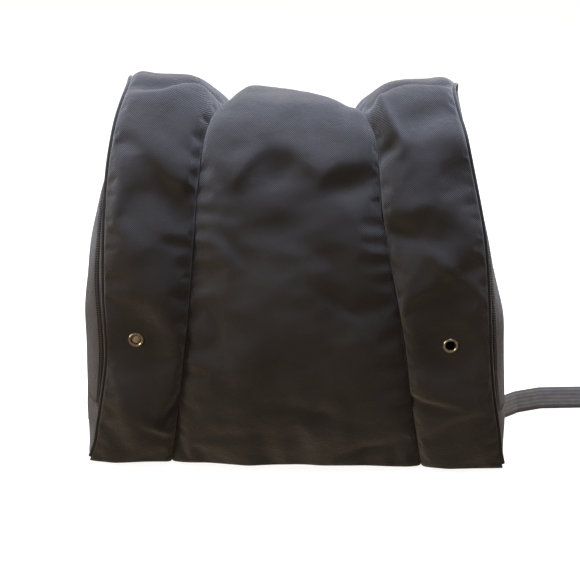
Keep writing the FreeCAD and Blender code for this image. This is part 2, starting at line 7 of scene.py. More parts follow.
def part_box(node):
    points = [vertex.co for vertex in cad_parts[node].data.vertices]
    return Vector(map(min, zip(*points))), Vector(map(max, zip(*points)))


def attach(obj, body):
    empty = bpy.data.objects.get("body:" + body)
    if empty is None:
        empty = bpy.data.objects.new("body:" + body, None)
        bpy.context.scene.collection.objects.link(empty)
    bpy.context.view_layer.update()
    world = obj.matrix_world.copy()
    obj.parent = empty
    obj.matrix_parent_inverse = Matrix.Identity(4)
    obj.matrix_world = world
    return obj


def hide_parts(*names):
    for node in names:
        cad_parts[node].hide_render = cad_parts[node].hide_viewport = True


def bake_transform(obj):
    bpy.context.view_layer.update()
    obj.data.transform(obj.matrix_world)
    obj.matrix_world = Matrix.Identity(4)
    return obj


# The looks of a padded three-compartment skate bag, in metres, in the CAD frame:
# +X to the bag's right seen from the front, +Y from the front to the back, +Z up.

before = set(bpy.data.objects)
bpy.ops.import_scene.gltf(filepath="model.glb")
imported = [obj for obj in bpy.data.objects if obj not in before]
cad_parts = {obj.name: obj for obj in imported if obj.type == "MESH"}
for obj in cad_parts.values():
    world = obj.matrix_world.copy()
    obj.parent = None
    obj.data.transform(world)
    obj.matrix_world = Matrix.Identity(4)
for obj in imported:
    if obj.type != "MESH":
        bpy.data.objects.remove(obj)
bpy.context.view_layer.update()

RIGHTWARD, BACKWARD, UPWARD = np.eye(3)

# ---- Places read from the frame ----
BACK_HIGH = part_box("back_panel")[1]
HINGE_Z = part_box("right_door")[0][2]
DOOR_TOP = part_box("right_door")[1][2]
GUSSET_BACK_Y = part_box("right_gusset_bottom")[1][1]

# ---- The bag's form ----
# Side profiles, (y, z) from the bottom of the front, over the ridge and down to the back's top edge.
FRONT_PROFILE = ((-0.070, 0.000), (-0.085, 0.045), (-0.097, 0.105), (-0.1035, 0.170),
                 (-0.103, 0.235), (-0.096, 0.290), (-0.084, 0.335))
SIDE_PROFILE = FRONT_PROFILE + ((-0.069, 0.367), (-0.052, 0.3865), (-0.030, 0.394), (0.000, 0.3945),
                                (0.035, 0.387), (0.062, 0.373), (0.078, 0.358), (0.0835, 0.350))
CENTRE_PROFILE = FRONT_PROFILE + ((-0.071, 0.360), (-0.055, 0.3755), (-0.030, 0.3835), (0.000, 0.3835),
                                  (0.035, 0.377), (0.062, 0.365), (0.078, 0.354), (0.0835, 0.348))
# How far up a profile the front turns into the top.
RIDGE = 0.40
# Half widths, (distance along the profile, x), of the front's outer edges and its two seams.
LEFT_EDGE = ((0.0, 0.214), (0.025, 0.206), (0.045, 0.203), (0.09, 0.196), (0.125, 0.192), (0.20, 0.1945),
             (0.27, 0.194), (0.34, 0.1895), (0.375, 0.184), (0.41, 0.1755), (0.47, 0.175), (0.57, 0.172))
RIGHT_EDGE = ((0.0, 0.2255), (0.02, 0.221), (0.05, 0.2165), (0.10, 0.2075), (0.14, 0.203), (0.20, 0.1985),
              (0.26, 0.192), (0.32, 0.180), (0.36, 0.171), (0.41, 0.160), (0.47, 0.166), (0.57, 0.172))
LEFT_SEAM = ((0.0, 0.126), (0.04, 0.1215), (0.10, 0.1155), (0.17, 0.109), (0.25, 0.1035), (0.32, 0.0995),
             (0.365, 0.094), (0.40, 0.084), (0.45, 0.072), (0.57, 0.074))
RIGHT_SEAM = ((0.0, 0.138), (0.03, 0.133), (0.08, 0.1245), (0.15, 0.115), (0.21, 0.103), (0.28, 0.0895),
              (0.33, 0.084), (0.365, 0.080), (0.40, 0.069), (0.45, 0.058), (0.57, 0.072))
# How far the padding puffs out, (distance along the profile, height), and how deep the seams pull it in.
PUFF = ((0.0, 0.004), (0.05, 0.009), (0.20, 0.011), (0.34, 0.012), (0.42, 0.011), (0.50, 0.008),
        (0.57, 0.002))
SEAM_TUCK = 0.005
SHELL_THICKNESS = 0.0055
GUSSET_THICKNESS = SHELL_THICKNESS - 0.001
FLOOR_GAP = 0.0006
# How much the top stands above its profile across the bag, (x, rise): the compartments sink at the seams.
CREST = ((-0.185, 0.003), (-0.167, 0.006), (-0.150, 0.002), (-0.130, 0.000), (-0.105, 0.000),
         (-0.090, -0.005), (-0.072, -0.007), (-0.060, -0.002), (-0.030, -0.003), (0.000, -0.005),
         (0.025, -0.010), (0.042, -0.0145), (0.052, -0.019), (0.063, -0.013), (0.075, -0.010),
         (0.092, -0.004), (0.110, -0.001), (0.135, 0.0005), (0.155, 0.0055), (0.170, 0.003), (0.185, 0.000))

# Back corner of the gusset, (z, x), and how far each gusset bulges between its corners, (z, bulge).
BACK_EDGE = ((0.0, 0.214), (0.07, 0.214), (0.20, 0.2005), (0.33, 0.182), (0.352, 0.175), (0.40, 0.170))
LEFT_BULGE = ((0.0, 0.008), (0.03, 0.013), (0.06, 0.016), (0.096, 0.020), (0.130, 0.0225), (0.164, 0.024),
              (0.198, 0.024), (0.231, 0.022), (0.264, 0.018), (0.297, 0.0115), (0.33, 0.005), (0.40, 0.002))
RIGHT_BULGE = ((0.0, 0.010), (0.03, 0.015), (0.06, 0.0174), (0.096, 0.020), (0.130, 0.0215), (0.164, 0.0215),
               (0.198, 0.017), (0.231, 0.0125), (0.264, 0.0085), (0.297, 0.0045), (0.33, 0.002),
               (0.40, 0.001))
GUSSET_DEPTH = 0.165
GUSSET_SETBACK = 0.006
GUSSET_INSET = 0.001
GUSSET_CROWN = 0.022
# The doors' edges, as shares of the gusset's depth from front to back.
DOOR_FRONT_LOW = 0.075
DOOR_FRONT_HIGH = 0.15
DOOR_BACK_SHARE = 0.965
DOOR_GAP = 0.0015
DOOR_THICKNESS = 0.0045
# Piping: its cord; the width of the black tape beside it, which also stands as painted shadow in the gap
# between the front edge and the gusset, wider on the right; and how far its flange reaches under the gusset,
# as shares of it.
CORD_RADIUS = 0.0021
BINDING_AND_SHADOW_WIDTH = {"left": 0.0040, "right": 0.0075}
FLANGE_TUCK = 0.03
FLANGE_TOP = 0.985
EYELET_TILT = math.radians(10)
EYELET_FLANGE_RADIUS = 0.0082
EYELET_HOLE_RADIUS = 0.0060

# Creases and dents of the front, as (x, z, half length, half width, angle in degrees, height).
LEFT_FOLDS = (
    (-0.128, 0.290, 0.030, 0.016, 112, -0.0060),
    (-0.120, 0.246, 0.018, 0.007, 165, -0.0030),
    (-0.150, 0.205, 0.060, 0.026, 95, 0.0045),
    (-0.126, 0.066, 0.020, 0.006, 62, -0.0060),
    (-0.138, 0.046, 0.016, 0.005, 150, 0.0040),
    (-0.180, 0.290, 0.060, 0.010, 86, 0.0035),
    (-0.178, 0.095, 0.050, 0.012, 96, 0.0040),
    (-0.150, 0.118, 0.030, 0.008, 20, -0.0030),
)
CENTRE_FOLDS = (
    (-0.018, 0.316, 0.018, 0.016, 20, -0.0065),
    (0.052, 0.305, 0.024, 0.013, 20, -0.0060),
    (-0.062, 0.245, 0.022, 0.008, 135, -0.0035),
    (-0.020, 0.262, 0.030, 0.014, 12, -0.0030),
    (0.030, 0.235, 0.032, 0.012, 155, -0.0025),
    (0.000, 0.150, 0.090, 0.055, 90, 0.0050),
    (-0.080, 0.160, 0.060, 0.012, 100, -0.0035),
    (0.046, 0.190, 0.034, 0.009, 148, -0.0030),
    (-0.036, 0.104, 0.040, 0.010, 25, -0.0030),
    (0.030, 0.070, 0.038, 0.009, 165, -0.0030),
    (0.083, 0.024, 0.026, 0.008, 14, -0.0055),
    (-0.060, 0.040, 0.030, 0.008, 8, -0.0030),
)
RIGHT_FOLDS = (
    (0.092, 0.370, 0.030, 0.006, 118, 0.0060),
    (0.124, 0.366, 0.030, 0.014, 24, -0.0070),
    (0.092, 0.340, 0.014, 0.006, 40, -0.0040),
    (0.112, 0.262, 0.022, 0.010, 160, -0.0060),
    (0.150, 0.232, 0.034, 0.009, 138, 0.0040),
    (0.118, 0.066, 0.022, 0.006, 60, -0.0075),
    (0.142, 0.078, 0.022, 0.0055, 172, -0.0060),
    (0.165, 0.050, 0.024, 0.008, 30, -0.0035),
    (0.150, 0.160, 0.050, 0.026, 92, 0.0040),
    (0.155, 0.352, 0.040, 0.020, 4, 0.0060),
)
# Lines where the slack cloth breaks over and hangs, as (x, z, height), from one side to the other,
# and how far its swelling reaches above and below each line.
LEFT_DRAPES = (
    ((-0.190, 0.368, 0.0), (-0.168, 0.356, 0.0030), (-0.150, 0.340, 0.0050), (-0.134, 0.322, 0.0062),
     (-0.121, 0.312, 0.0070), (-0.112, 0.311, 0.0060), (-0.104, 0.326, 0.0025), (-0.094, 0.340, 0.0)),
    ((-0.190, 0.205, 0.0), (-0.160, 0.240, 0.0020), (-0.130, 0.252, 0.0035), (-0.110, 0.246, 0.0030)),
)
CENTRE_DRAPES = (
    ((-0.092, 0.340, 0.0010), (-0.075, 0.324, 0.0035), (-0.062, 0.315, 0.0060), (-0.048, 0.328, 0.0055),
     (-0.030, 0.343, 0.0050), (-0.006, 0.338, 0.0050), (0.012, 0.327, 0.0060), (0.028, 0.320, 0.0068),
     (0.042, 0.328, 0.0055), (0.056, 0.330, 0.0050), (0.084, 0.338, 0.0015)),
    ((-0.105, 0.262, 0.0015), (-0.070, 0.238, 0.0030), (-0.040, 0.252, 0.0022), (0.000, 0.243, 0.0026),
     (0.040, 0.255, 0.0020), (0.095, 0.238, 0.0015)),
)
RIGHT_DRAPES = (
    ((0.080, 0.372, 0.0050), (0.098, 0.360, 0.0055), (0.108, 0.352, 0.0045), (0.122, 0.368, 0.0015),
     (0.180, 0.372, 0.0)),
    ((0.088, 0.282, 0.0045), (0.112, 0.284, 0.0060), (0.132, 0.292, 0.0050), (0.150, 0.284, 0.0020),
     (0.185, 0.270, 0.0)),
    ((0.100, 0.190, 0.0), (0.140, 0.215, 0.0035), (0.172, 0.240, 0.0035), (0.195, 0.252, 0.0)),
)
DRAPE_DEPTH = 0.85
DRAPE_ABOVE = 0.030
DRAPE_BELOW = 0.0125
# Where each side compartment's front folds over into its top, (x, distance along the profile), how
# high that fold stands, and how deep the hollow is behind it.
LEFT_TURN = ((-0.190, 0.397), (-0.150, 0.397), (-0.135, 0.400), (-0.122, 0.411), (-0.110, 0.418),
             (-0.070, 0.420))
RIGHT_TURN = ((0.055, 0.392), (0.080, 0.400), (0.098, 0.416), (0.125, 0.420), (0.150, 0.416), (0.185, 0.412))
TURN_RISE = 0.0045
TURN_HOLLOW = 0.0075


# ---------------------------------------------------------------- numbers
def through(knots, at):
    """Smooth values through (place, value) knots."""
    places = np.array([knot[0] for knot in knots])
    values = np.array([knot[1] for knot in knots])
    slopes = np.gradient(values, places)
    at = np.clip(at, places[0], places[-1])
    i = np.clip(np.searchsorted(places, at) - 1, 0, len(places) - 2)
    span = places[i + 1] - places[i]
    t = (at - places[i]) / span
    rise = values[i] * (1 + 2 * t) * (1 - t) ** 2 + values[i + 1] * t * t * (3 - 2 * t)
    return rise + span * (slopes[i] * t * (1 - t) ** 2 - slopes[i + 1] * t * t * (1 - t))


def along_profile(profile, s):
    """(y, z) at a distance s along a side profile."""
    points, steps = np.array(profile), run_lengths(profile)
    y = through(list(zip(steps, points[:, 0])), s)
    z = through(list(zip(steps, points[:, 1])), s)
    return y, z


def unit(vectors):
    return vectors / np.linalg.norm(vectors, axis=-1, keepdims=True)


def headings(path):
    """The direction of a path at each of its points."""
    return unit(np.gradient(np.asarray(path, float), axis=0))


def run_lengths(path):
    """How far along a path each of its points lies."""
    return np.concatenate([[0], np.cumsum(np.linalg.norm(np.diff(np.asarray(path, float), axis=0), axis=1))])


def profile_length(profile):
    return float(run_lengths(profile)[-1])


def step_up(low, high, at):
    t = np.clip((at - low) / (high - low), 0, 1)
    return t * t * (3 - 2 * t)


def grid_normals(points):
    across = np.gradient(points, axis=1)
    along = np.gradient(points, axis=0)
    normals = np.cross(across, along)
    return normals / np.maximum(np.linalg.norm(normals, axis=2, keepdims=True), 1e-12)


def ripple(x, z, seed, size):
    """Smooth random relief between about -1 and 1, from a few waves in fixed directions."""
    rng = np.random.default_rng(seed)
    total = np.zeros_like(x)
    for _ in range(9):
        angle, phase = rng.uniform(0, math.tau, 2)
        wave = size * rng.uniform(0.7, 1.6)
        total += np.sin((x * math.cos(angle) + z * math.sin(angle)) * math.tau / wave + phase)
    return total / 4.0


def folds_at(folds, x, z):
    """The height that the listed creases and dents add at a place on the front."""
    height = np.zeros_like(x)
    for centre_x, centre_z, long, wide, angle, rise in folds:
        turn = math.radians(angle)
        dx, dz = x - centre_x, z - centre_z
        lengthwise = dx * math.cos(turn) + dz * math.sin(turn)
        sideways = -dx * math.sin(turn) + dz * math.cos(turn)
        height += rise * np.exp(-(lengthwise / long) ** 2 - (sideways / wide) ** 2)
    return height


def drapes_at(drapes, x, z):
    """The height of slack cloth that swells gently down to a line and falls away sharply below it."""
    height = np.zeros_like(x)
    for line in drapes:
        above = z - through([(a, b) for a, b, _ in line], x)
        reach = np.where(above > 0, DRAPE_ABOVE, DRAPE_BELOW)
        height += DRAPE_DEPTH * through([(a, c) for a, _, c in line], x) * np.exp(-(above / reach) ** 2)
    return height


# ---------------------------------------------------------------- meshes
def mesh_piece(name, points, faces, uv=None):
    mesh = bpy.data.meshes.new(name)
    mesh.from_pydata([tuple(p) for p in points], [], faces)
    if uv is not None:
        layer = mesh.uv_layers.new(name="metres")
        corners = np.array([loop.vertex_index for loop in mesh.loops])
        layer.data.foreach_set("uv", np.asarray(uv, float)[corners].ravel())
    mesh.update()
    mesh.shade_smooth()
    piece = bpy.data.objects.new(name, mesh)
    bpy.context.collection.objects.link(piece)
    return piece


def grid_faces(rows, cols, wrap=False, first=0):
    faces = []
    for i in range(rows - 1):
        for j in range(cols if wrap else cols - 1):
            k = (j + 1) % cols
            faces.append((first + i * cols + j, first + i * cols + k,
                          first + (i + 1) * cols + k, first + (i + 1) * cols + j))
    return faces


def closed_tube_faces(rows, cols):
    """The faces of a tube made of rings, with a cap at each end."""
    last = (rows - 1) * cols
    caps = [tuple(range(cols))[::-1], tuple(last + j for j in range(cols))]
    return grid_faces(rows, cols, wrap=True) + caps


def grid_piece(name, points, uv, skip=None):
    rows, cols = points.shape[:2]
    faces = grid_faces(rows, cols)
    if skip is not None:
        flat = points.reshape(-1, 3)
        centres = np.array([flat[list(face)].mean(0) for face in faces])
        faces = [face for face, gone in zip(faces, skip(centres)) if not gone]
    return mesh_piece(name, points.reshape(-1, 3), faces, uv.reshape(-1, 2))


def bridge(first, second):
    """A narrow sheet of points between two paths."""
    share = np.linspace(0, 1, 5)[None, :, None]
    return first[:, None] * (1 - share) + second[:, None] * share


def apply_modifiers(piece):
    bpy.context.view_layer.update()
    graph = bpy.context.evaluated_depsgraph_get()
    mesh = bpy.data.meshes.new_from_object(piece.evaluated_get(graph))
    piece.modifiers.clear()
    piece.data = mesh
    mesh.shade_smooth()
    return piece


def thicken(piece, thickness, inner_slot=True):
    """Gives a sheet its padding, inwards, with the lining as its second material."""
    solid = piece.modifiers.new("padding", "SOLIDIFY")
    solid.thickness = thickness
    solid.offset = -1
    solid.material_offset = 1 if inner_slot else 0
    return apply_modifiers(piece)


def tube_rings(path, radius, sides):
    """Rings of points round a path, each turned as little as possible from the last."""
    path = np.asarray(path, float)
    tangents = headings(path)
    side = np.cross(tangents[0], (0.0, 0.0, 1.0))
    if np.linalg.norm(side) < 0.1:
        side = np.cross(tangents[0], (0.0, 1.0, 0.0))
    rings = []
    angles = np.linspace(0, math.tau, sides, endpoint=False)
    for point, tangent in zip(path, tangents):
        side = side - tangent * side.dot(tangent)
        side /= np.linalg.norm(side)
        other = np.cross(tangent, side)
        rings.append(point + radius * (np.cos(angles)[:, None] * side + np.sin(angles)[:, None] * other))
    return np.array(rings)


def ring_piece(name, rings, around, runs):
    """A closed tube from its rings, with its cloth laid out by distance round and along it."""
    uv = np.stack(np.broadcast_arrays(around[None, :], runs[:, None]), axis=2).reshape(-1, 2)
    return mesh_piece(name, rings.reshape(-1, 3), closed_tube_faces(*rings.shape[:2]), uv)


def tube(name, path, radius, sides=10):
    rings = tube_rings(path, radius, sides)
    around = np.arange(sides) * radius * math.tau / sides
    return ring_piece(name, rings, around, run_lengths(path))


def band(name, path, across, up, width, thickness, crown=0.0):
    """A flat strap along a path: across and up give its two section directions at each point."""
    path, across, up = (np.asarray(a, float) for a in (path, across, up))
    stations = np.array([-1, -0.94, -0.5, 0, 0.5, 0.94, 1])
    lift = np.array([0.55, 1, 1, 1, 1, 1, 0.55]) * thickness / 2
    swell = crown * (1 - stations ** 2)
    section = [(w * width / 2, h + c) for w, h, c in zip(stations, lift, swell)]
    section += [(w * width / 2, -h) for w, h in zip(stations[::-1], lift[::-1])]
    ring = [path + across * a + up * b for a, b in section]
    wide = np.array([a for a, _ in section])
    return ring_piece(name, np.stack(ring, axis=1), wide, run_lengths(path))


def dress(piece, body, slot, materials, *nodes):
    """Gives a piece its body and materials, and the CAD nodes it stands for; the slot is not used."""
    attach(piece, body)
    return paint(piece, slot, materials, *nodes)


def paint(piece, slot, materials, *nodes):
    piece.data.materials.clear()
    for material in materials:
        piece.data.materials.append(material)
    if nodes:
        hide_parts(*nodes)
    return piece


# ---------------------------------------------------------------- materials
class Shader:
    """A small helper for node trees: each call adds a node and returns its output."""

    def __init__(self, name, roughness, sheen=0.0, metallic=0.0, specular=0.5):
        self.material = bpy.data.materials.new(name)
        self.material.use_nodes = True
        self.tree = self.material.node_tree
        self.surface = self.tree.nodes["Principled BSDF"]
        settings = {"Roughness": roughness, "Metallic": metallic, "Specular IOR Level": specular,
                    "Sheen Weight": sheen, "Sheen Roughness": 0.45}
        for socket, value in settings.items():
            self.surface.inputs[socket].default_value = value

    def link(self, value, socket):
        if isinstance(value, bpy.types.NodeSocket):
            self.tree.links.new(value, socket)
        else:
            socket.default_value = value

    def place(self, kind="UV"):
        return self.tree.nodes.new("ShaderNodeTexCoord").outputs[kind]

    def math(self, operation, a, b=0.0):
        node = self.tree.nodes.new("ShaderNodeMath")
        node.operation = operation
        self.link(a, node.inputs[0])
        self.link(b, node.inputs[1])
        return node.outputs[0]

    def add(self, a, b):
        return self.math("ADD", a, b)

    def times(self, a, b):
        return self.math("MULTIPLY", a, b)

    def parts(self, vector):
        node = self.tree.nodes.new("ShaderNodeSeparateXYZ")
        self.tree.links.new(vector, node.inputs[0])
        return node.outputs

    def noise(self, place, scale, detail=3.0):
        node = self.tree.nodes.new("ShaderNodeTexNoise")
        self.tree.links.new(place, node.inputs["Vector"])
        node.inputs["Scale"].default_value = scale
        node.inputs["Detail"].default_value = detail
        return node.outputs["Fac"]

    def wave(self, value, pitch):
        """A sine from 0 to 1 that repeats every pitch metres."""
        turns = self.math("SINE", self.times(value, math.tau / pitch))
        return self.add(self.times(turns, 0.5), 0.5)

    def mix(self, share, first, second):
        node = self.tree.nodes.new("ShaderNodeMix")
        node.data_type = "RGBA"
        self.link(share, node.inputs[0])
        self.link((*first, 1) if isinstance(first, tuple) else first, node.inputs[6])
        self.link((*second, 1) if isinstance(second, tuple) else second, node.inputs[7])
        return node.outputs[2]

    def ramp(self, value, low, high):
        node = self.tree.nodes.new("ShaderNodeMapRange")
        self.link(value, node.inputs["Value"])
        node.inputs["From Min"].default_value = low
        node.inputs["From Max"].default_value = high
        return node.outputs[0]

    def colour(self, value):
        self.link(value, self.surface.inputs["Base Color"])

    def bump(self, height, strength, distance):
        node = self.tree.nodes.new("ShaderNodeBump")
        node.inputs["Strength"].default_value = strength
        node.inputs["Distance"].default_value = distance
        self.tree.links.new(height, node.inputs["Height"])
        self.tree.links.new(node.outputs[0], self.surface.inputs["Normal"])


def woven(name, dark, light, pitch, relief, sheen=0.25, roughness=0.72, diagonal=True, worn=0.35,
          rumple=0.0):
    """Woven cloth: two crossing sets of yarns, uneven dye and a little relief."""
    shader = Shader(name, roughness, sheen, specular=0.2)
    u, v, _ = shader.parts(shader.place())
    if diagonal:
        first = shader.add(u, v)
        second = shader.math("SUBTRACT", u, v)
        pitch = pitch * math.sqrt(2)
    else:
        first, second = u, v
    yarns = shader.times(shader.wave(first, pitch), shader.wave(second, pitch))
    uneven = shader.noise(shader.place("Object"), 38.0, 4.0)
    broad = shader.noise(shader.place("Object"), 9.0, 2.0)
    tone = shader.add(shader.times(yarns, 1 - worn), shader.times(uneven, worn))
    tone = shader.times(tone, shader.ramp(broad, 0.15, 0.75))
    shader.colour(shader.mix(tone, dark, light))
    slubs = shader.noise(shader.place("Object"), 520.0, 2.0)
    rumples = shader.noise(shader.place("Object"), 55.0, 5.0)
    height = shader.add(shader.times(yarns, relief), shader.times(slubs, relief))
    shader.bump(shader.add(height, shader.times(rumples, rumple)), 1.0, 1.0)
    return shader.material


def webbing_cloth(name, dark, light, width):
    """Heavy webbing: chevron ribs along the strap, and a tighter selvedge at each edge."""
    shader = Shader(name, 0.66, 0.2, specular=0.35)
    u, v, _ = shader.parts(shader.place())
    from_middle = shader.math("ABSOLUTE", u)
    ribs = shader.wave(shader.add(v, from_middle), 0.0024)
    cords = shader.wave(u, 0.0042)
    selvedge = shader.ramp(from_middle, width / 2 - 0.0030, width / 2 - 0.0018)
    weave = shader.add(shader.times(ribs, 0.6), shader.times(cords, 0.4))
    tone = shader.times(weave, shader.math("SUBTRACT", 1.0, shader.times(selvedge, 0.65)))
    fuzz = shader.noise(shader.place("Object"), 120.0, 3.0)
    tone = shader.times(tone, shader.ramp(fuzz, -0.3, 0.7))
    shader.colour(shader.mix(tone, dark, light))
    shader.bump(tone, 0.6, 0.0004)
    return shader.material


def spacer_mesh(name):
    """Open air mesh over dark foam: round holes on staggered rows."""
    shader = Shader(name, 0.8, 0.3, specular=0.25)
    u, v, _ = shader.parts(shader.place())
    pitch = 0.0034
    rows = shader.wave(v, pitch)
    columns = shader.wave(u, pitch)
    holes = shader.times(rows, columns)
    shader.colour(shader.mix(shader.ramp(holes, 0.15, 0.6), (0.030, 0.030, 0.033), (0.006, 0.006, 0.007)))
    shader.bump(shader.math("SUBTRACT", 1.0, holes), 0.8, 0.0007)
    return shader.material


def metal(name, tone, worn_tone, roughness):
    """Plated metal with a slightly uneven, rubbed finish."""
    shader = Shader(name, roughness, metallic=1.0)
    wear = shader.noise(shader.place("Object"), 420.0, 4.0)
    shader.colour(shader.mix(shader.ramp(wear, 0.4, 0.65), tone, worn_tone))
    shader.bump(wear, 0.25, 0.0001)
    return shader.material


def moulded(name, tone, worn_tone):
    """Moulded acetal with a fine spark-eroded grain."""
    shader = Shader(name, 0.42, specular=0.5)
    grain = shader.noise(shader.place("Object"), 900.0, 3.0)
    scuffs = shader.noise(shader.place("Object"), 60.0, 5.0)
    shader.colour(shader.mix(shader.ramp(scuffs, 0.5, 0.8), tone, worn_tone))
    shader.bump(grain, 0.3, 0.00012)
    return shader.material


NYLON = woven("nylon_pack_cloth", (0.010, 0.010, 0.012), (0.052, 0.053, 0.062), 0.0015, 0.00045,
              rumple=0.0017, roughness=0.82)
LINING = woven("lining_cloth", (0.010, 0.010, 0.011), (0.030, 0.030, 0.033), 0.0008, 0.00015, diagonal=False)
BINDING = woven("binding_tape", (0.006, 0.006, 0.007), (0.018, 0.018, 0.020), 0.0010, 0.0002, diagonal=False)
WEBBING = webbing_cloth("grey_webbing", (0.040, 0.038, 0.036), (0.160, 0.152, 0.144), 0.025)
BLACK_WEBBING = webbing_cloth("black_webbing", (0.008, 0.008, 0.009), (0.035, 0.035, 0.038), 0.025)
MESH = spacer_mesh("back_air_mesh")
TAPE = woven("zip_tape", (0.005, 0.005, 0.006), (0.016, 0.016, 0.018), 0.0008, 0.00015)
COIL = moulded("zip_coil_nylon", (0.006, 0.006, 0.007), (0.020, 0.020, 0.022))
PLASTIC = moulded("black_acetal", (0.010, 0.010, 0.011), (0.030, 0.030, 0.032))
EYELET_METAL = metal("antique_metal", (0.22, 0.20, 0.175), (0.40, 0.365, 0.315), 0.30)
ZIP_METAL = metal("gunmetal", (0.07, 0.07, 0.075), (0.16, 0.16, 0.16), 0.34)
EYELET_MESH = woven("vent_gauze", (0.16, 0.13, 0.10), (0.80, 0.70, 0.56), 0.0012, 0.0003, diagonal=False)


# ---------------------------------------------------------------- padded front and top
def cover_points(profile, inner, outer, folds, drapes, turn, seams, seed, step):
    """The outer face of one compartment: x runs between two edges, s runs up the front and over the top."""
    length, centre_length = profile_length(profile), profile_length(CENTRE_PROFILE)
    s = np.linspace(0, length, int(length / step) + 1)
    low, high = inner(s), outer(s)
    cols = int(float((high - low).max()) / step) + 1
    t = np.linspace(0, 1, cols)
    t = t + 0.6 * np.sin(t * math.tau) / -math.tau
    x = low[:, None] + (high - low)[:, None] * t[None, :]
    place = 2 * t[None, :] - 1
    near_seam = at_seam = np.ones_like(place)
    if len(seams) == 1:
        near_seam, at_seam = step_up(-0.2, 1.0, seams[0] * place), seams[0] * place > 0
    own, shared = along_profile(profile, s), along_profile(CENTRE_PROFILE, s * centre_length / length)
    y, z = (a[:, None] * (1 - near_seam) + b[:, None] * near_seam for a, b in zip(own, shared))
    points = np.stack([x, y, z], axis=2)
    normals = grid_normals(points)
    puff = through(PUFF, s)[:, None] * (1 - np.abs(place) ** 2.6) ** 0.62
    tuck = np.zeros_like(x)
    for side in seams:
        tuck += SEAM_TUCK * np.clip(side * place, 0, 1) ** 14
    upper = step_up(0.02, 0.10, s)[:, None] * (1 - step_up(length - 0.05, length, s)[:, None])
    ease = 1 - np.abs(place) ** 4
    runs = np.broadcast_to(s[:, None], x.shape)
    relief = (0.0020 * ripple(x, runs, seed, 0.12) + 0.0007 * ripple(x, runs, seed + 50, 0.045)
              + 0.0002 * ripple(x, runs, seed + 90, 0.020)) * ease
    relief += (folds_at(folds, x, z) + drapes_at(drapes, x, z)) * (1 - step_up(RIDGE, RIDGE + 0.03, runs))
    edge = np.abs(place) ** 4 * (1 - np.abs(place) ** 24) * at_seam
    pucker = np.sin(runs * math.tau / 0.024 + 2.4 * np.sin(runs * 29 + seed) + 1.5 * place)
    swell = 0.5 + 0.5 * np.sin(runs * 41 + 2 * seed + place)
    relief += 0.0010 * edge * pucker * swell * upper
    if turn:
        past = runs - through(turn, x)
        relief += TURN_RISE * np.exp(-(past / np.where(past > 0, 0.005, 0.016)) ** 2) * ease
        relief -= TURN_HOLLOW * np.exp(-((past - 0.014) / 0.009) ** 2) * ease
    hem = 0.0016 * np.sin(x * math.tau / 0.085 + seed) * (1 - step_up(0.0, 0.03, s))[:, None]
    points = points + normals * (puff - tuck + relief + hem)[:, :, None]
    sink = step_up(RIDGE - 0.035, RIDGE + 0.045, s) * (1 - 0.5 * step_up(RIDGE + 0.09, length, s))
    points[:, :, 2] = np.maximum(points[:, :, 2] + through(CREST, x) * sink[:, None], FLOOR_GAP)
    uv = np.stack([x, runs], axis=2)
    return points, uv


def eyelet_frame(side):
    """The middle of an eyelet's flange and its outward direction."""
    low, high = (np.array(corner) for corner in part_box(side + "_eyelet"))
    outward = np.array([0, -math.cos(EYELET_TILT), -math.sin(EYELET_TILT)])
    reach = (high[1] - low[1]) / 2 - EYELET_FLANGE_RADIUS * math.sin(EYELET_TILT)
    return (low + high) / 2 + outward * (reach / math.cos(EYELET_TILT) - 0.0011), outward


def spokes(outward, count):
    """Directions round an eyelet, square to its outward direction."""
    angles = np.linspace(0, math.tau, count, endpoint=False)[:, None]
    return np.cos(angles) * RIGHTWARD + np.sin(angles) * np.cross(RIGHTWARD, outward)


def seat_eyelet(points, side):
    """Presses the padding flat round an eyelet, so that its flange lies on the cloth."""
    centre, outward = eyelet_frame(side)
    offset = points - centre
    above = offset @ outward
    flat = offset - above[..., None] * outward
    away = np.linalg.norm(flat, axis=-1)
    hold = np.exp(-(np.maximum(away - 0.009, 0) / 0.024) ** 2)
    front = (points[..., 1] < centre[1] + 0.03)
    return points - outward * (above * hold * front)[..., None]


EYELET_SIDES = 40
GAUZE_SIDES = 24
# Section of an eyelet, (radius, height along its outward direction), from the barrel's end round the
# rolled rim and back.
EYELET_SECTION = ((0.0050, -0.0090), (0.0050, -0.0004), (0.0053, 0.0004), (0.0060, 0.0011), (0.0068, 0.0014),
                  (0.0075, 0.0011), (0.0081, 0.0004), (0.0082, -0.0001), (0.0079, -0.0003), (0.0060, -0.0003),
                  (0.0059, -0.0090))


def make_eyelet(label):
    """A rolled metal eyelet, turned from its section."""
    centre, outward = eyelet_frame(label)
    points = np.concatenate([centre + outward * height + spokes(outward, EYELET_SIDES) * radius
                             for radius, height in EYELET_SECTION])
    rows = len(EYELET_SECTION)
    last = (rows - 1) * EYELET_SIDES
    faces = grid_faces(rows, EYELET_SIDES, wrap=True)
    for j in range(EYELET_SIDES):
        k = (j + 1) % EYELET_SIDES
        faces.append((last + j, last + k, k, j))
    eyelet = mesh_piece(f"{label}_rolled_eyelet", points, faces, points[:, [0, 2]])
    dress(eyelet, "shell", "eyelet_metal", [EYELET_METAL], f"{label}_eyelet")


def make_vent_gauze():
    """The left vent's fine mesh screen, slightly domed inside the eyelet's barrel."""
    centre, outward = eyelet_frame("left")
    rings = ((0.0048, -0.0016), (0.0034, -0.0006), (0.0017, 0.0))
    points = [centre + outward * depth + spokes(outward, GAUZE_SIDES) * radius for radius, depth in rings]
    points = np.concatenate(points + [[centre + outward * 0.0002]])
    last, top = 2 * GAUZE_SIDES, 3 * GAUZE_SIDES
    faces = grid_faces(3, GAUZE_SIDES, wrap=True)
    faces += [(last + j, last + (j + 1) % GAUZE_SIDES, top) for j in range(GAUZE_SIDES)]
    gauze = mesh_piece("left_vent_gauze", points, faces, points[:, [0, 2]])
    dress(gauze, "shell", "eyelet_metal", [EYELET_MESH])


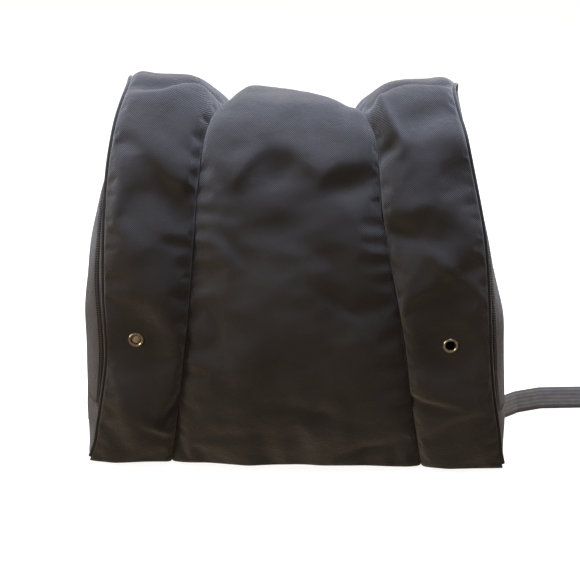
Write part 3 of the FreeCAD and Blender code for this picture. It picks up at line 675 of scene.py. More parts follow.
def eyelet_hole(side):
    centre, outward = eyelet_frame(side)

    def inside(centres):
        offset = centres - centre
        above = offset @ outward
        away = np.linalg.norm(offset - above[:, None] * outward, axis=1)
        return (away < EYELET_HOLE_RADIUS) & (np.abs(above) < 0.02)
    return inside


# Stiff padded nylon, slightly too large for its seams and pressed outwards by its padding.
CLOTH = {"quality": 6, "mass": 0.4, "tension_stiffness": 18, "compression_stiffness": 18,
         "shear_stiffness": 8, "bending_stiffness": 14, "air_damping": 3, "shrink_min": -0.010,
         "use_pressure": True, "uniform_pressure_force": 0.20, "vertex_group_mass": "sewn"}
CLOTH_FRAMES = 22
CLOTH_REACH = 0.0035


def relax(points, uv, name):
    """Lets the sheet swell and wrinkle as cloth between its sewn edges, by CLOTH_REACH at most."""
    sheet = grid_piece(name, points, uv)
    rows, cols = points.shape[:2]
    held = sheet.vertex_groups.new(name="sewn")
    for i in range(rows):
        for j in range(cols):
            if i in (0, rows - 1) or j in (0, 1, cols - 2, cols - 1):
                held.add([i * cols + j], 1.0, "REPLACE")
    cloth = sheet.modifiers.new("cloth", "CLOTH")
    for setting, value in CLOTH.items():
        setattr(cloth.settings, setting, value)
    cloth.settings.effector_weights.gravity = 0
    cloth.collision_settings.use_self_collision = False
    scene = bpy.context.scene
    cloth.point_cache.frame_start = 1
    cloth.point_cache.frame_end = CLOTH_FRAMES
    for number in range(1, CLOTH_FRAMES + 1):
        scene.frame_set(number)
    graph = bpy.context.evaluated_depsgraph_get()
    moved = sheet.evaluated_get(graph).data
    flat = np.empty(len(moved.vertices) * 3)
    moved.vertices.foreach_get("co", flat)
    scene.frame_set(1)
    bpy.data.objects.remove(sheet)
    shift = flat.reshape(rows, cols, 3) - points
    size = np.linalg.norm(shift, axis=2, keepdims=True)
    return points + shift * np.minimum(1, CLOTH_REACH / np.maximum(size, 1e-9))


def build_cover(name, profile, inner, outer, folds, drapes, turn, seams, seed, eyelet_side=None):
    points, uv = cover_points(profile, inner, outer, folds, drapes, turn, seams, seed, 0.004)
    points = relax(points, uv, name + "_sim")
    if eyelet_side:
        points = seat_eyelet(points, eyelet_side)
    points, uv = refine(points), refine(uv)
    if eyelet_side:
        points = seat_eyelet(points, eyelet_side)
    piece = grid_piece(name, points, uv, eyelet_hole(eyelet_side) if eyelet_side else None)
    return piece, points


def refine(values):
    """Twice as many rows and columns, smoothly."""
    for axis in (0, 1):
        count = values.shape[axis]
        moved = np.moveaxis(values, axis, 0)
        padded = np.concatenate([2 * moved[:1] - moved[1:2], moved, 2 * moved[-1:] - moved[-2:-1]])
        middles = (-padded[:-3] + 9 * padded[1:-2] + 9 * padded[2:-1] - padded[3:]) / 16
        result = np.empty((2 * count - 1,) + moved.shape[1:])
        result[::2] = moved
        result[1::2] = middles
        values = np.moveaxis(result, 0, axis)
    return values


def line_at(side, knots):
    return lambda s: side * through(knots, s)


def make_seam_welt(label, cover):
    """The sewn welt in the groove between two covers, along a cover's inner edge."""
    path = smooth_path(cover[4:-4, -1 if label == "left" else 0])
    path[:, 1:] += 0.0008 * np.array([-1.0, 0.2])
    welt = tube(f"{label}_seam_welt", path, 0.0013, 8)
    dress(welt, "shell", "piping", [BINDING])


def make_covers():
    left_edge, left_seam = line_at(-1, LEFT_EDGE), line_at(-1, LEFT_SEAM)
    right_seam, right_edge = line_at(1, RIGHT_SEAM), line_at(1, RIGHT_EDGE)
    left, left_points = build_cover("left_padded_cover", SIDE_PROFILE, left_edge, left_seam,
                                    LEFT_FOLDS, LEFT_DRAPES, LEFT_TURN, (1,), 3, "left")
    right, right_points = build_cover("right_padded_cover", SIDE_PROFILE, right_seam, right_edge,
                                      RIGHT_FOLDS, RIGHT_DRAPES, RIGHT_TURN, (-1,), 8, "right")
    centre, lid_points = build_cover("centre_padded_cover", CENTRE_PROFILE, left_seam, right_seam,
                                     CENTRE_FOLDS, CENTRE_DRAPES, None, (-1, 1), 5)
    for piece in (left, right, centre):
        thicken(piece, SHELL_THICKNESS)
    make_eyelet("left")
    make_eyelet("right")
    make_vent_gauze()
    make_seam_welt("left", left_points)
    make_seam_welt("right", right_points)
    for label, piece in (("left", left), ("right", right)):
        dress(piece, "shell", "padded_nylon", [NYLON, LINING], f"{label}_front_panel", f"{label}_top")
    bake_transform(centre)
    paint(centre, "padded_nylon", [NYLON, LINING], "centre_front_panel", "centre_lid")
    return left_points, lid_points, right_points


# ---------------------------------------------------------------- gussets and doors
def gusset_point(side, t, w):
    """A place on a side gusset: t from its front edge to its back edge, w from the floor to the top."""
    edge = LEFT_EDGE if side < 0 else RIGHT_EDGE
    s = w * RIDGE
    front_y, front_z = along_profile(SIDE_PROFILE, s)
    front_x = through(edge, s) - GUSSET_INSET
    front_y = front_y + GUSSET_SETBACK + 0.004 * step_up(0.0, 0.05, s)
    back_z = w * (BACK_HIGH[2] - 0.003)
    back_x = through(BACK_EDGE, back_z) - GUSSET_INSET
    bulge = through(LEFT_BULGE if side < 0 else RIGHT_BULGE, front_z)
    x = front_x + (back_x - front_x) * t + bulge * 4 * t * (1 - t)
    y = front_y + (GUSSET_BACK_Y - front_y) * t
    z = front_z + (back_z - front_z) * t + GUSSET_CROWN * 4 * t * (1 - t) * np.clip(w, 0, 1) ** 9
    relief = 0.0012 * ripple(y, z, 21 + side, 0.09) * np.clip(4 * t * (1 - t), 0, 1)
    return np.stack([side * (x + relief), y, z], axis=-1)


def row_at(z):
    """The share of the gusset's height at which its middle is z high."""
    return z / ((RIDGE - 0.004 + BACK_HIGH[2]) / 2)


HINGE_ROW = row_at(HINGE_Z)
TOP_ROW = row_at(DOOR_TOP - 0.002)


def door_front_share(w):
    return DOOR_FRONT_LOW + (DOOR_FRONT_HIGH - DOOR_FRONT_LOW) * (w - HINGE_ROW) / (TOP_ROW - HINGE_ROW)


def gusset_patch(name, side, t_low, t_high, w_low, w_high, thickness, step=0.004):
    """A padded piece of gusset between four edges; t_low and t_high may change with the height."""
    rows = max(3, int((w_high - w_low) * RIDGE / step))
    w = np.linspace(w_low, w_high, rows)[:, None]
    cols = max(3, int(GUSSET_DEPTH * float(np.max(t_high(w) - t_low(w))) / step))
    t = t_low(w) + (t_high(w) - t_low(w)) * np.linspace(0, 1, cols)[None, :]
    w = np.broadcast_to(w, t.shape)
    points = gusset_point(side, t, w)
    uv = np.stack([points[..., 1], points[..., 2]], axis=2)
    if side < 0:
        points, uv = points[:, ::-1], uv[:, ::-1]
    return thicken(grid_piece(name, points, uv), thickness)


def constant(value):
    return lambda w: np.full_like(w, value)


def make_gusset(label, side):
    gap = DOOR_GAP / GUSSET_DEPTH
    row_gap = DOOR_GAP / RIDGE
    pieces = {
        "gusset_bottom": (constant(0.0), constant(1.0), 0.004, HINGE_ROW - row_gap),
        "gusset_front": (constant(0.0), lambda w: door_front_share(w) - gap, HINGE_ROW, TOP_ROW),
        "gusset_rear": (constant(DOOR_BACK_SHARE + gap / 2), constant(1.0), HINGE_ROW, TOP_ROW),
        "gusset_top": (constant(0.0), constant(1.0), TOP_ROW + row_gap, 1.0),
    }
    for name, (t_low, t_high, w_low, w_high) in pieces.items():
        piece = gusset_patch(f"{label}_{name}_cloth", side, t_low, t_high, w_low, w_high, GUSSET_THICKNESS)
        dress(piece, "shell", "padded_nylon", [NYLON, LINING], f"{label}_{name}")
    door = gusset_patch(f"{label}_door_cloth", side, door_front_share, constant(DOOR_BACK_SHARE - gap / 2),
                        HINGE_ROW, TOP_ROW, DOOR_THICKNESS)
    dress(door, f"{label}_door_body", "padded_nylon", [NYLON, LINING], f"{label}_door")
    make_door_zip(label, side)


def edge_path(side, shares, rows, lift):
    """A path on the gusset, lifted off its face."""
    points = gusset_point(side, shares, rows)
    near_t = gusset_point(side, shares + 0.01, rows) - points
    near_w = gusset_point(side, shares, rows + 0.01) - points
    out = unit(np.cross(near_t, near_w))
    out *= np.sign(out[:, :1]) * side
    return points + out * lift, out


BOX_CORNERS = np.array([[i, j, k] for i in (-1, 1) for j in (-1, 1) for k in (-1, 1)], float)
BOX_FACES = ((0, 1, 3, 2), (4, 6, 7, 5), (0, 4, 5, 1), (2, 3, 7, 6), (0, 2, 6, 4), (1, 5, 7, 3))
TOOTH_PITCH = 0.0026
TOOTH_HALF_WIDTH = 0.0008
TAPE_WIDTH = 0.0052
TAPE_THICKNESS = 0.0005
ROW_OFFSET = 0.0024


def make_teeth(name, body, teeth):
    """A row of zip teeth, each given by its eight corners."""
    points = np.concatenate(teeth)
    faces = [tuple(first + i for i in face) for first in range(0, len(points), 8) for face in BOX_FACES]
    row = mesh_piece(name, points, faces, np.zeros((len(points), 2)))
    dress(row, body, "zip_coil", [COIL])


def zip_half(name, side, offset_t, offset_w, body, node, start):
    """One half of a door's zip: its tape and its row of coil teeth, up, over and down."""
    count = 150
    up = np.linspace(HINGE_ROW + 0.004, TOP_ROW + offset_w, count)
    shares_up = door_front_share(up) - offset_t
    across = np.linspace(0, 1, 60)[1:-1]
    last = DOOR_BACK_SHARE + offset_t * 0.5
    shares_top = shares_up[-1] + (last - shares_up[-1]) * across
    shares = np.concatenate([shares_up, shares_top, np.full(count, last)])
    rows = np.concatenate([up, np.full(len(across), up[-1]), up[::-1]])
    path, out = edge_path(side, shares, rows, 0.0012)
    runs, along = run_lengths(path), headings(path)
    across_tape = np.cross(out, along)
    tape = band(name + "_tape", path - out * 0.0006, across_tape, out, TAPE_WIDTH, TAPE_THICKNESS)
    dress(tape, body, "zip_coil", [TAPE], node)
    i, j, h = BOX_CORNERS.T[:, :, None]
    teeth = []
    for run in np.arange(start, runs[-1], TOOTH_PITCH):
        centre = np.array([np.interp(run, runs, path[:, axis]) for axis in range(3)])
        k = min(int(np.searchsorted(runs, run)), len(runs) - 1)
        teeth.append(centre + along[k] * i * TOOTH_HALF_WIDTH + across_tape[k] * j * (0.0016 - 0.0005 * h)
                     + out[k] * (h * 0.0006 + 0.0003))
    make_teeth(name + "_coil", body, teeth)


def make_door_zip(label, side):
    """The two halves of a door's zip, whose teeth lie half a pitch apart."""
    offset = ROW_OFFSET / GUSSET_DEPTH
    zip_half(f"{label}_zip_on_door", side, -offset, -ROW_OFFSET / RIDGE, f"{label}_door_body",
             f"{label}_zip_door", TOOTH_PITCH / 2)
    zip_half(f"{label}_zip_on_frame", side, offset, 0.0030 / RIDGE, "shell", f"{label}_zip_frame", 0.0)


def make_lid_tape(lid):
    """The lid's zip tape, from its straight row of teeth up into the cloth of the lid's back edge."""
    low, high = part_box("lid_zip_lid")
    x = np.linspace(low[0], high[0], 60)
    teeth = np.stack([x, np.full_like(x, high[1] - 0.0012), np.full_like(x, high[2] - 0.0010)], axis=1)
    edge = lid[-2]
    y, z = (np.interp(x, edge[:, 0], edge[:, axis]) for axis in (1, 2))
    into = np.stack([x, y - 0.0022, z], axis=1)
    points = bridge(teeth, into)[:, ::-1]
    tape = thicken(grid_piece("lid_zip_lid_sheet", points, points[..., ::2]), 0.0010, inner_slot=False)
    dress(tape, "lid_body", "zip_coil", [TAPE])


def make_lid_zip(lid):
    """The lid's straight zip: one half stays on the back, the other lifts with the lid."""
    make_lid_tape(lid)
    for name, body, facing in (("lid_zip_back", "shell", 1), ("lid_zip_lid", "lid_body", -1)):
        low, high = (np.array(corner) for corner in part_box(name))
        middle, size = (low + high) / 2, high - low
        path = np.tile(middle, (60, 1))
        path[:, 0] = np.linspace(low[0], high[0], 60)
        tape = band(name + "_tape", path - BACKWARD * size[1] / 4, np.tile(UPWARD, (60, 1)),
                    np.tile(BACKWARD, (60, 1)), size[2], size[1] / 2)
        dress(tape, body, "zip_coil", [TAPE], name)
        half_tooth = np.array([TOOTH_HALF_WIDTH, size[1] / 2, 0.0010])
        edge = middle[2] + facing * (size[2] / 2 - half_tooth[2])
        start = low[0] + 0.001 + (facing > 0) * TOOTH_PITCH / 2
        make_teeth(name + "_coil", body, [np.array([x, middle[1], edge]) + BOX_CORNERS * half_tooth
                                          for x in np.arange(start, high[0] - 0.001, TOOTH_PITCH)])


# ---------------------------------------------------------------- piping
def make_binding_and_painted_shadow(label, side):
    """The black tape sewn beside the front piping, on the gusset; it also stands as painted shadow in the gap
    between the front edge and the gusset, so it is wider on the right.
    """
    rows = np.linspace(0.01, 0.99, 120)
    width = BINDING_AND_SHADOW_WIDTH[label]
    path, out = edge_path(side, np.full_like(rows, width / 2 / GUSSET_DEPTH), rows, 0.0008)
    binding = band(f"{label}_binding_and_painted_shadow", path, np.cross(out, headings(path)), out, width, 0.0008)
    dress(binding, "shell", "piping", [BINDING])


def smooth_path(path, passes=3):
    path = np.array(path)
    for _ in range(passes):
        path[1:-1] = (path[:-2] + 2 * path[1:-1] + path[2:]) / 4
    return path


def make_piping_flange(label, side, cord_path):
    """The piping's sewn-in flange, which closes the corner between its cord and the gusset."""
    up = np.linspace(0.004, 1.0, 160)
    over = np.linspace(FLANGE_TUCK, 0.97, 70)[1:]
    front = gusset_point(side, np.full_like(up, FLANGE_TUCK), np.minimum(up, FLANGE_TOP))
    top = gusset_point(side, over, np.full_like(over, FLANGE_TOP))
    rim = np.concatenate([front, top])
    rim[:, 0] -= side * 0.0022
    away = np.linalg.norm(cord_path[:, None, 1:] - rim[None, :, 1:], axis=2)
    partners = smooth_path(rim[np.maximum.accumulate(away.argmin(axis=1))], 6)
    points = bridge(cord_path, partners)
    if side < 0:
        points = points[:, ::-1]
    flange = thicken(grid_piece(f"{label}_piping_flange", points, points[..., 1:]), 0.0010, inner_slot=False)
    dress(flange, "shell", "piping", [BINDING])


def make_piping(label, side, cover):
    column = 0 if side < 0 else -1
    edge = smooth_path(cover[:, column])
    outward = np.array([side * 0.0012, 0.0016, 0.0])
    path = edge[3:] + outward
    path[:, 2] = np.maximum(path[:, 2], 0.0022)
    make_piping_flange(label, side, path)
    cord = tube(f"{label}_front_piping_cord", path, CORD_RADIUS)
    dress(cord, "shell", "piping", [BINDING], f"{label}_front_piping")
    z = np.linspace(0.0025, BACK_HIGH[2] - 0.004, 90)
    back_y = np.interp(z, (0.07, 0.33), (0.088, 0.084))
    path = np.stack([side * (through(BACK_EDGE, z) - 0.0002), back_y - 0.0004, z], axis=1)
    cord = tube(f"{label}_back_piping_cord", path, CORD_RADIUS)
    dress(cord, "shell", "piping", [BINDING], f"{label}_back_piping")


# ---------------------------------------------------------------- back, base and dividers
def back_face_y(z):
    return np.interp(z, (0.0, 0.07, 0.33, 0.376), (0.088, 0.088, 0.084, 0.080))


BACK_THICKNESS = 0.0114
CHANNEL_PITCH = 0.062
CHANNEL_DEPTH = 0.0038


def make_back():
    """The padded back: air mesh in quilted channels, flat towards its borders."""
    step = 0.004
    rows = int(BACK_HIGH[2] / step)
    cols = int(2 * BACK_HIGH[0] / step)
    z = np.linspace(0.001, BACK_HIGH[2] - 0.001, rows)[:, None]
    place = np.linspace(-1, 1, cols)[None, :]
    x = place * (through(BACK_EDGE, z) - 0.001)
    z = np.broadcast_to(z, x.shape)
    dip = 0.007 * np.exp(-((x - 0.066) / 0.012) ** 2) + 0.003 * np.exp(-((x + 0.070) / 0.012) ** 2)
    z = z - dip * step_up(0.30, 0.35, z)
    y = back_face_y(z) - 0.0008
    border = np.minimum(step_up(0, 0.016, 0.2 - np.abs(x)), step_up(0, 0.02, BACK_HIGH[2] - z))
    channels = np.abs(np.sin(z * math.pi / CHANNEL_PITCH)) ** 0.45
    spine = 1 - 0.75 * np.exp(-(x / 0.008) ** 2)
    y = y + (CHANNEL_DEPTH * channels * spine + 0.0006 * ripple(x, z, 31, 0.08) - 0.0037) * border
    points = np.stack([x, y, z], axis=2)[:, ::-1]
    uv = np.stack([x, z], axis=2)[:, ::-1]
    back = grid_piece("padded_back", points, uv)
    thicken(back, BACK_THICKNESS)
    dress(back, "shell", "back_mesh", [MESH, LINING], "back_panel")


def slab(name, low, high, soft=0.002, step=0.008):
    """A padded slab with rounded edges."""
    low, high = np.array(low), np.array(high)
    size = high - low
    cols, rows = (max(4, int(size[i] / step)) for i in (0, 1))
    u, v = np.linspace(-1, 1, cols), np.linspace(-1, 1, rows)
    x = (low[0] + high[0]) / 2 + u[None, :] * size[0] / 2
    y = (low[1] + high[1]) / 2 + v[:, None] * size[1] / 2
    x, y = np.broadcast_arrays(x, y)
    rim = np.maximum(np.abs(u)[None, :], np.abs(v)[:, None]) ** 12
    top = high[2] - soft * rim
    bottom = low[2] + soft * rim
    upper = np.stack([x, y, top], axis=2)
    under = np.stack([x, y, bottom], axis=2)
    count = rows * cols
    faces = grid_faces(rows, cols) + [face[::-1] for face in grid_faces(rows, cols, first=count)]
    last_row = (rows - 1) * cols
    ring = list(range(cols)) + [i * cols + cols - 1 for i in range(1, rows)]
    ring += [last_row + j for j in range(cols - 2, -1, -1)] + [i * cols for i in range(rows - 2, 0, -1)]
    for a, b in zip(ring, ring[1:] + ring[:1]):
        faces.append((b, a, a + count, b + count))
    points = np.concatenate([upper.reshape(-1, 3), under.reshape(-1, 3)])
    return mesh_piece(name, points, faces, points[:, :2])


def make_base():
    low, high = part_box("base_panel")
    base = slab("padded_base", low, high)
    dress(base, "shell", "padded_nylon", [NYLON], "base_panel")
    low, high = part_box("base_board")
    board = slab("stiffening_board", low, high, 0.0006)
    dress(board, "shell", "board", [PLASTIC], "base_board")


DIVIDER_FRONT_GAP = 0.012
DIVIDER_BACK_Y = 0.072
DIVIDER_THICKNESS = 0.0024


def make_divider(label, side):
    """The padded wall between a boot pocket and the centre compartment."""
    knots = LEFT_SEAM if side < 0 else RIGHT_SEAM
    rows, cols = 70, 30
    s = np.linspace(0.012, 0.36, rows)[:, None]
    front_y, z = along_profile(CENTRE_PROFILE, s)
    t = np.linspace(0, 1, cols)[None, :]
    front_y = front_y + DIVIDER_FRONT_GAP
    y = front_y + (DIVIDER_BACK_Y - front_y) * t
    z = z * np.ones_like(t)
    z = z - step_up(0.28, 0.36, z) * 0.022 * t
    x = side * through(knots, s) * np.ones_like(t) + 0.0015 * ripple(y, z, 40 + side, 0.07) + side * 0.0012
    points = np.stack([x, y, z], axis=2)
    divider = grid_piece(f"{label}_divider_cloth", points, np.stack([y, z], axis=2))
    thicken(divider, DIVIDER_THICKNESS, inner_slot=False)
    dress(divider, "shell", "lining", [LINING], f"{label}_divider")


# ---------------------------------------------------------------- straps
def resample(points, step):
    points = np.asarray(points, float)
    runs = run_lengths(points)
    at = np.linspace(0, runs[-1], max(3, int(runs[-1] / step)))
    return np.stack([np.interp(at, runs, points[:, i]) for i in range(points.shape[1])], axis=1)


def rounded_route(route, radius, step=0.002):
    """A route in plan with round turns of one radius."""
    points = [np.array(p, float) for p in route]
    path = [points[0]]
    for before, corner, after in zip(points, points[1:], points[2:]):
        into, out = unit(corner - before), unit(after - corner)
        turn = math.acos(float(np.clip(into @ out, -1, 1)))
        reach = radius * math.tan(turn / 2)
        start, end = corner - into * reach, corner + out * reach
        centre = corner + unit(out - into) * radius / math.cos(turn / 2)
        count = max(2, int(radius * turn / step))
        for i in range(count + 1):
            share = i / count
            spoke = (start - centre) * math.sin((1 - share) * turn) + (end - centre) * math.sin(share * turn)
            path.append(centre + spoke / math.sin(turn))
        path.append(end)
    path.append(points[-1])
    return resample(path, step)


RIGHT_ROUTE = ((0.220, 0.064), (0.237, 0.097), (0.262, 0.127), (0.290, 0.144), (0.345, 0.151),
               (0.400, 0.151), (0.400, 0.135), (0.348, 0.135), (0.348, 0.119), (0.392, 0.119))
LEFT_ROUTE = ((-0.220, 0.064), (-0.229, 0.068), (-0.229, 0.108), (-0.150, 0.118), (0.020, 0.118))
WEBBING_WIDTH = 0.025
WEBBING_THICKNESS = 0.0018
STRAP_BOTTOM = 0.001
STRAP_BEND_RADIUS = 0.007


def floor_strap(name, route, lean):
    """Webbing on edge along the floor, leaning back by a share of its height."""
    plan = rounded_route(route, STRAP_BEND_RADIUS)
    runs = np.linspace(0, 1, len(plan))
    ease = step_up(0.0, 0.12, runs) * (1 - step_up(0.45, 0.60, runs))
    tilt = lean * ease
    along = headings(plan)
    side = np.stack([-along[:, 1], along[:, 0], np.zeros(len(plan))], axis=1)
    tilt = tilt[:, None]
    rise = UPWARD * np.cos(tilt) + side * np.sin(tilt)
    out = side * np.cos(tilt) - UPWARD * np.sin(tilt)
    foot = np.column_stack([plan, np.full(len(plan), STRAP_BOTTOM)])
    path = foot + rise * (WEBBING_WIDTH / 2) + UPWARD * (WEBBING_THICKNESS / 2 * np.sin(tilt))
    return band(name, path, rise, out, WEBBING_WIDTH, WEBBING_THICKNESS)


def make_waist_belt():
    strap = floor_strap("right_waist_webbing", RIGHT_ROUTE, 0.30)
    dress(strap, "shell", "webbing", [WEBBING], "right_waist_strap")
    strap = floor_strap("left_waist_webbing", LEFT_ROUTE, 0.0)
    dress(strap, "shell", "webbing", [WEBBING], "left_waist_strap")
    low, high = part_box("strap_keeper")
    ring = [(low[1], low[2] + 0.002), (low[1], high[2] - 0.003), (low[1] + 0.003, high[2]),
            (high[1] - 0.003, high[2]), (high[1], high[2] - 0.003), (high[1], low[2] + 0.002)]
    path = resample([(0.5 * (low[0] + high[0]), y, z) for y, z in ring], 0.0015)
    across = np.tile(RIGHTWARD, (len(path), 1))
    keeper = band("elastic_keeper", path, across, np.cross(headings(path), across), high[0] - low[0], 0.0012)
    dress(keeper, "shell", "elastic", [BLACK_WEBBING], "strap_keeper")


SHOULDER_LINE = ((0.038, 0.256), (0.068, 0.180), (0.086, 0.112))
SHOULDER_WIDTH = 0.050
ANCHOR = (0.184, 0.026)
LADDER_GAP = 0.030


def shoulder_path(side):
    """The middle line of a shoulder strap, smooth through its three points."""
    (x0, z0), (x1, z1), (x2, z2) = SHOULDER_LINE
    share = np.linspace(0, 1, 60)
    x = through(((0.0, x0), (0.5, x1), (1.0, x2)), share)
    z = through(((0.0, z0), (0.5, z1), (1.0, z2)), share)
    return np.stack([side * x, np.zeros_like(x), z], axis=1)


def padded_band(name, path, width, thickness, y_back):
    """A puffed strap lying on the back, of rounded section and quilted across."""
    across = np.cross(headings(path), BACKWARD)
    angles = np.linspace(0, math.tau, 28, endpoint=False)
    rings = []
    for i, point in enumerate(path):
        share = i / (len(path) - 1)
        end = min(1.0, 6.5 * share + 0.25, 6.5 * (1 - share) + 0.25)
        wide = width / 2 * (0.80 + 0.20 * math.sin(math.pi * min(1.0, share * 1.3)))
        thick = thickness / 2 * end
        lengthwise = 1 - 0.16 * abs(math.sin(share * math.pi * 6)) ** 12
        cosine, sine = np.cos(angles), np.sin(angles)
        a = wide * np.sign(cosine) * np.abs(cosine) ** 0.55
        b = thick * lengthwise * np.sign(sine) * np.abs(sine) ** 0.8
        rings.append(point + np.outer(a, across[i]) + np.outer(b + thick, BACKWARD))
    points = np.array(rings)
    points[:, :, 1] += y_back
    return ring_piece(name, points, angles / math.tau * 2 * width, run_lengths(path))


def make_harness(label, side):
    low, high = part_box(f"{label}_shoulder_strap")
    path = shoulder_path(side)
    strap = padded_band(f"{label}_shoulder_pad", path, SHOULDER_WIDTH, high[1] - low[1], low[1])
    dress(strap, "shell", "strap_padding", [NYLON], f"{label}_shoulder_strap")
    on_top = path[4:-2] + np.array([0, high[1] + 0.0006, 0])
    out = np.tile(BACKWARD, (len(on_top), 1))
    across = np.cross(headings(on_top), out)
    rib = band(f"{label}_shoulder_webbing", on_top, across, out, WEBBING_WIDTH, 0.0014)
    dress(rib, "shell", "webbing", [BLACK_WEBBING])
    end = np.array([side * SHOULDER_LINE[2][0], 0, SHOULDER_LINE[2][1]])
    anchor = np.array([side * ANCHOR[0], 0, ANCHOR[1]])
    run = unit(anchor - end)
    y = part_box(f"{label}_strap_webbing")[0][1] + WEBBING_THICKNESS / 2
    start = end + run * LADDER_GAP
    share = np.linspace(0, 1, 40)[:, None]
    line = start + (anchor - start) * share + BACKWARD * (y + 0.004 * np.sin(share * math.pi))
    out = np.tile(BACKWARD, (len(line), 1))
    webbing = band(f"{label}_adjuster_webbing", line, np.cross(run, out), out,
                   WEBBING_WIDTH, WEBBING_THICKNESS)
    dress(webbing, "shell", "webbing", [BLACK_WEBBING], f"{label}_strap_webbing")


HANDLE_HALF_SPAN = 0.048
HANDLE_CORNER = 0.010
GRIP_RADIUS = 0.006


def make_handle():
    """The haul handle: a rolled grip on a U of webbing, hanging from two sewn tabs."""
    low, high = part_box("haul_handle")
    y = (low[1] + high[1]) / 2
    half, corner = HANDLE_HALF_SPAN, HANDLE_CORNER
    grip_z = low[2] + GRIP_RADIUS
    right = [(half - corner, y, grip_z), (half - corner * 0.3, y, grip_z + corner * 0.3),
             (half, y, grip_z + corner), (half, y, high[2])]
    left = [(-x, y, z) for x, _, z in right[::-1]]
    path = smooth_path(resample(left + right, 0.002), 6)
    out = np.tile(BACKWARD, (len(path), 1))
    strap = band("haul_handle_webbing", path, np.cross(headings(path), out), out, 0.018, 0.002)
    dress(strap, "handle_body", "webbing", [BLACK_WEBBING], "haul_handle")
    x = np.linspace(-half + corner, half - corner, 40)
    swell = GRIP_RADIUS - 0.0008 + 0.0006 * np.cos(x / half * math.pi / 2)
    middle = np.stack([x, np.full_like(x, y), np.full_like(x, grip_z)], axis=1)
    centre = middle[:, None, :]
    rings = centre + (tube_rings(middle, 1.0, 18) - centre) * swell[:, None, None]
    grip = ring_piece("haul_handle_grip", rings, np.arange(18) * 0.002, x)
    dress(grip, "handle_body", "webbing", [NYLON])
    for label in ("left", "right"):
        low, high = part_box(f"{label}_handle_tab")
        tab = slab(f"{label}_handle_patch", low, high, 0.003, 0.002)
        dress(tab, "shell", "webbing", [BLACK_WEBBING], f"{label}_handle_tab")


# ---------------------------------------------------------------- hardware
HARDWARE = {"eyelet_washer": EYELET_METAL, "zip_slider": ZIP_METAL, "zip_pull": ZIP_METAL,
            "ladder_lock": PLASTIC, "buckle_male": PLASTIC, "buckle_female": PLASTIC}


def make_hardware():
    """The metal and plastic pieces keep their shapes, and each kind gets its material."""
    for kind, material in HARDWARE.items():
        for name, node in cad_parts.items():
            if name.endswith(kind):
                node.data.materials.clear()
                node.data.materials.append(material)


# ---------------------------------------------------------------- stage, light and camera
def staged(piece, shader):
    piece.data.materials.append(shader.material)
    piece.visible_diffuse = False
    piece.visible_glossy = False


def glowing(name, tone, glow):
    """A matt surface that also glows evenly, so that it stays pale away from the lights."""
    shader = Shader(name, 0.9, specular=0.0)
    shader.colour((tone, tone, tone, 1))
    shader.link((1.0, 1.0, 1.0, 1), shader.surface.inputs["Emission Color"])
    shader.surface.inputs["Emission Strength"].default_value = glow
    return shader


FLOOR_SIZE = 14.0
FLOOR_DROP = 0.0004
DOME_RADIUS = 9.0


def make_stage():
    """A pale floor just under the bag, and a plain white dome round the whole stage."""
    bpy.ops.mesh.primitive_plane_add(size=FLOOR_SIZE, location=(0, 0, -FLOOR_DROP))
    bpy.context.object.name = "studio_floor"
    staged(bpy.context.object, glowing("pale_floor", 0.30, 0.88))
    bpy.ops.mesh.primitive_uv_sphere_add(segments=48, ring_count=24, radius=DOME_RADIUS)
    bpy.context.object.name = "studio_dome"
    bpy.context.object.visible_shadow = False
    staged(bpy.context.object, glowing("white_dome", 0.0, 1.0))
    world = bpy.data.worlds.new("studio_air")
    world.use_nodes = True
    air = world.node_tree.nodes["Background"]
    air.inputs["Color"].default_value = (1.0, 0.76, 0.54, 1)
    air.inputs["Strength"].default_value = 0.42
    bpy.context.scene.world = world


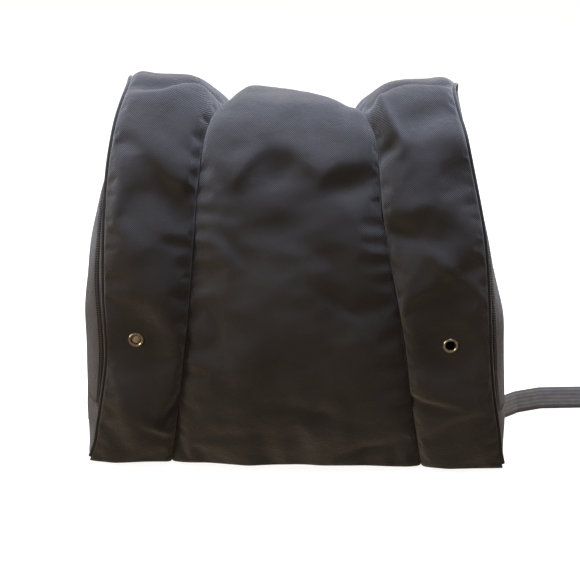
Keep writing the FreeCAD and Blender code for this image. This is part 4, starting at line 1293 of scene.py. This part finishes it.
def area_light(name, place, target, size, power, tone):
    light = bpy.data.lights.new(name, "AREA")
    light.shape = "RECTANGLE"
    light.size, light.size_y = size
    light.energy = power
    light.color = tone
    lamp = bpy.data.objects.new(name, light)
    lamp.location = place
    lamp.visible_camera = False
    lamp.rotation_euler = (Vector(target) - Vector(place)).to_track_quat("-Z", "Y").to_euler()
    bpy.context.collection.objects.link(lamp)


def make_lights():
    area_light("top_window", (-0.12, 0.05, 2.15), (0, 0.0, 0.25), (1.3, 1.1), 186, (0.73, 0.81, 1.0))
    area_light("left_window", (-1.8, -1.2, 0.6), (0, 0, 0.2), (0.8, 0.8), 30, (1.0, 0.82, 0.54))
    area_light("right_window", (2.2, 0.1, 0.6), (0, 0, 0.2), (0.8, 0.8), 4, (1.0, 0.90, 0.74))
    area_light("back_window", (0.7, 2.0, 1.3), (0, 0, 0.2), (1.0, 1.0), 30, (1.0, 0.97, 0.93))


CAMERA_ELEVATION = 14.0
CAMERA_ROLL = 1.1
CAMERA_DISTANCE = 2.10
TARGET = Vector((-0.0044, -0.090, 0.196))
SENSOR_WIDTH = 36
VIEW_WIDTH = 0.5974


def make_camera():
    camera = bpy.data.cameras.new("camera")
    camera.lens = SENSOR_WIDTH * CAMERA_DISTANCE / VIEW_WIDTH
    camera.sensor_width = SENSOR_WIDTH
    holder = bpy.data.objects.new("camera", camera)
    tilt = math.radians(CAMERA_ELEVATION)
    holder.location = TARGET + Vector((0, -math.cos(tilt), math.sin(tilt))) * CAMERA_DISTANCE
    aim = (TARGET - holder.location).to_track_quat("-Z", "Y")
    holder.rotation_euler = (aim @ Quaternion((0, 0, 1), math.radians(CAMERA_ROLL))).to_euler()
    bpy.context.collection.objects.link(holder)
    bpy.context.scene.camera = holder
    bpy.context.scene.view_settings.view_transform = "Standard"


# ---------------------------------------------------------------- the whole bag
left_cover, lid_cover, right_cover = make_covers()
for label, side, cover in (("left", -1, left_cover), ("right", 1, right_cover)):
    make_gusset(label, side)
    make_piping(label, side, cover)
    make_binding_and_painted_shadow(label, side)
    make_divider(label, side)
    make_harness(label, side)
make_lid_zip(lid_cover)
make_back()
make_base()
make_waist_belt()
make_handle()
make_hardware()
make_stage()
make_lights()
make_camera()
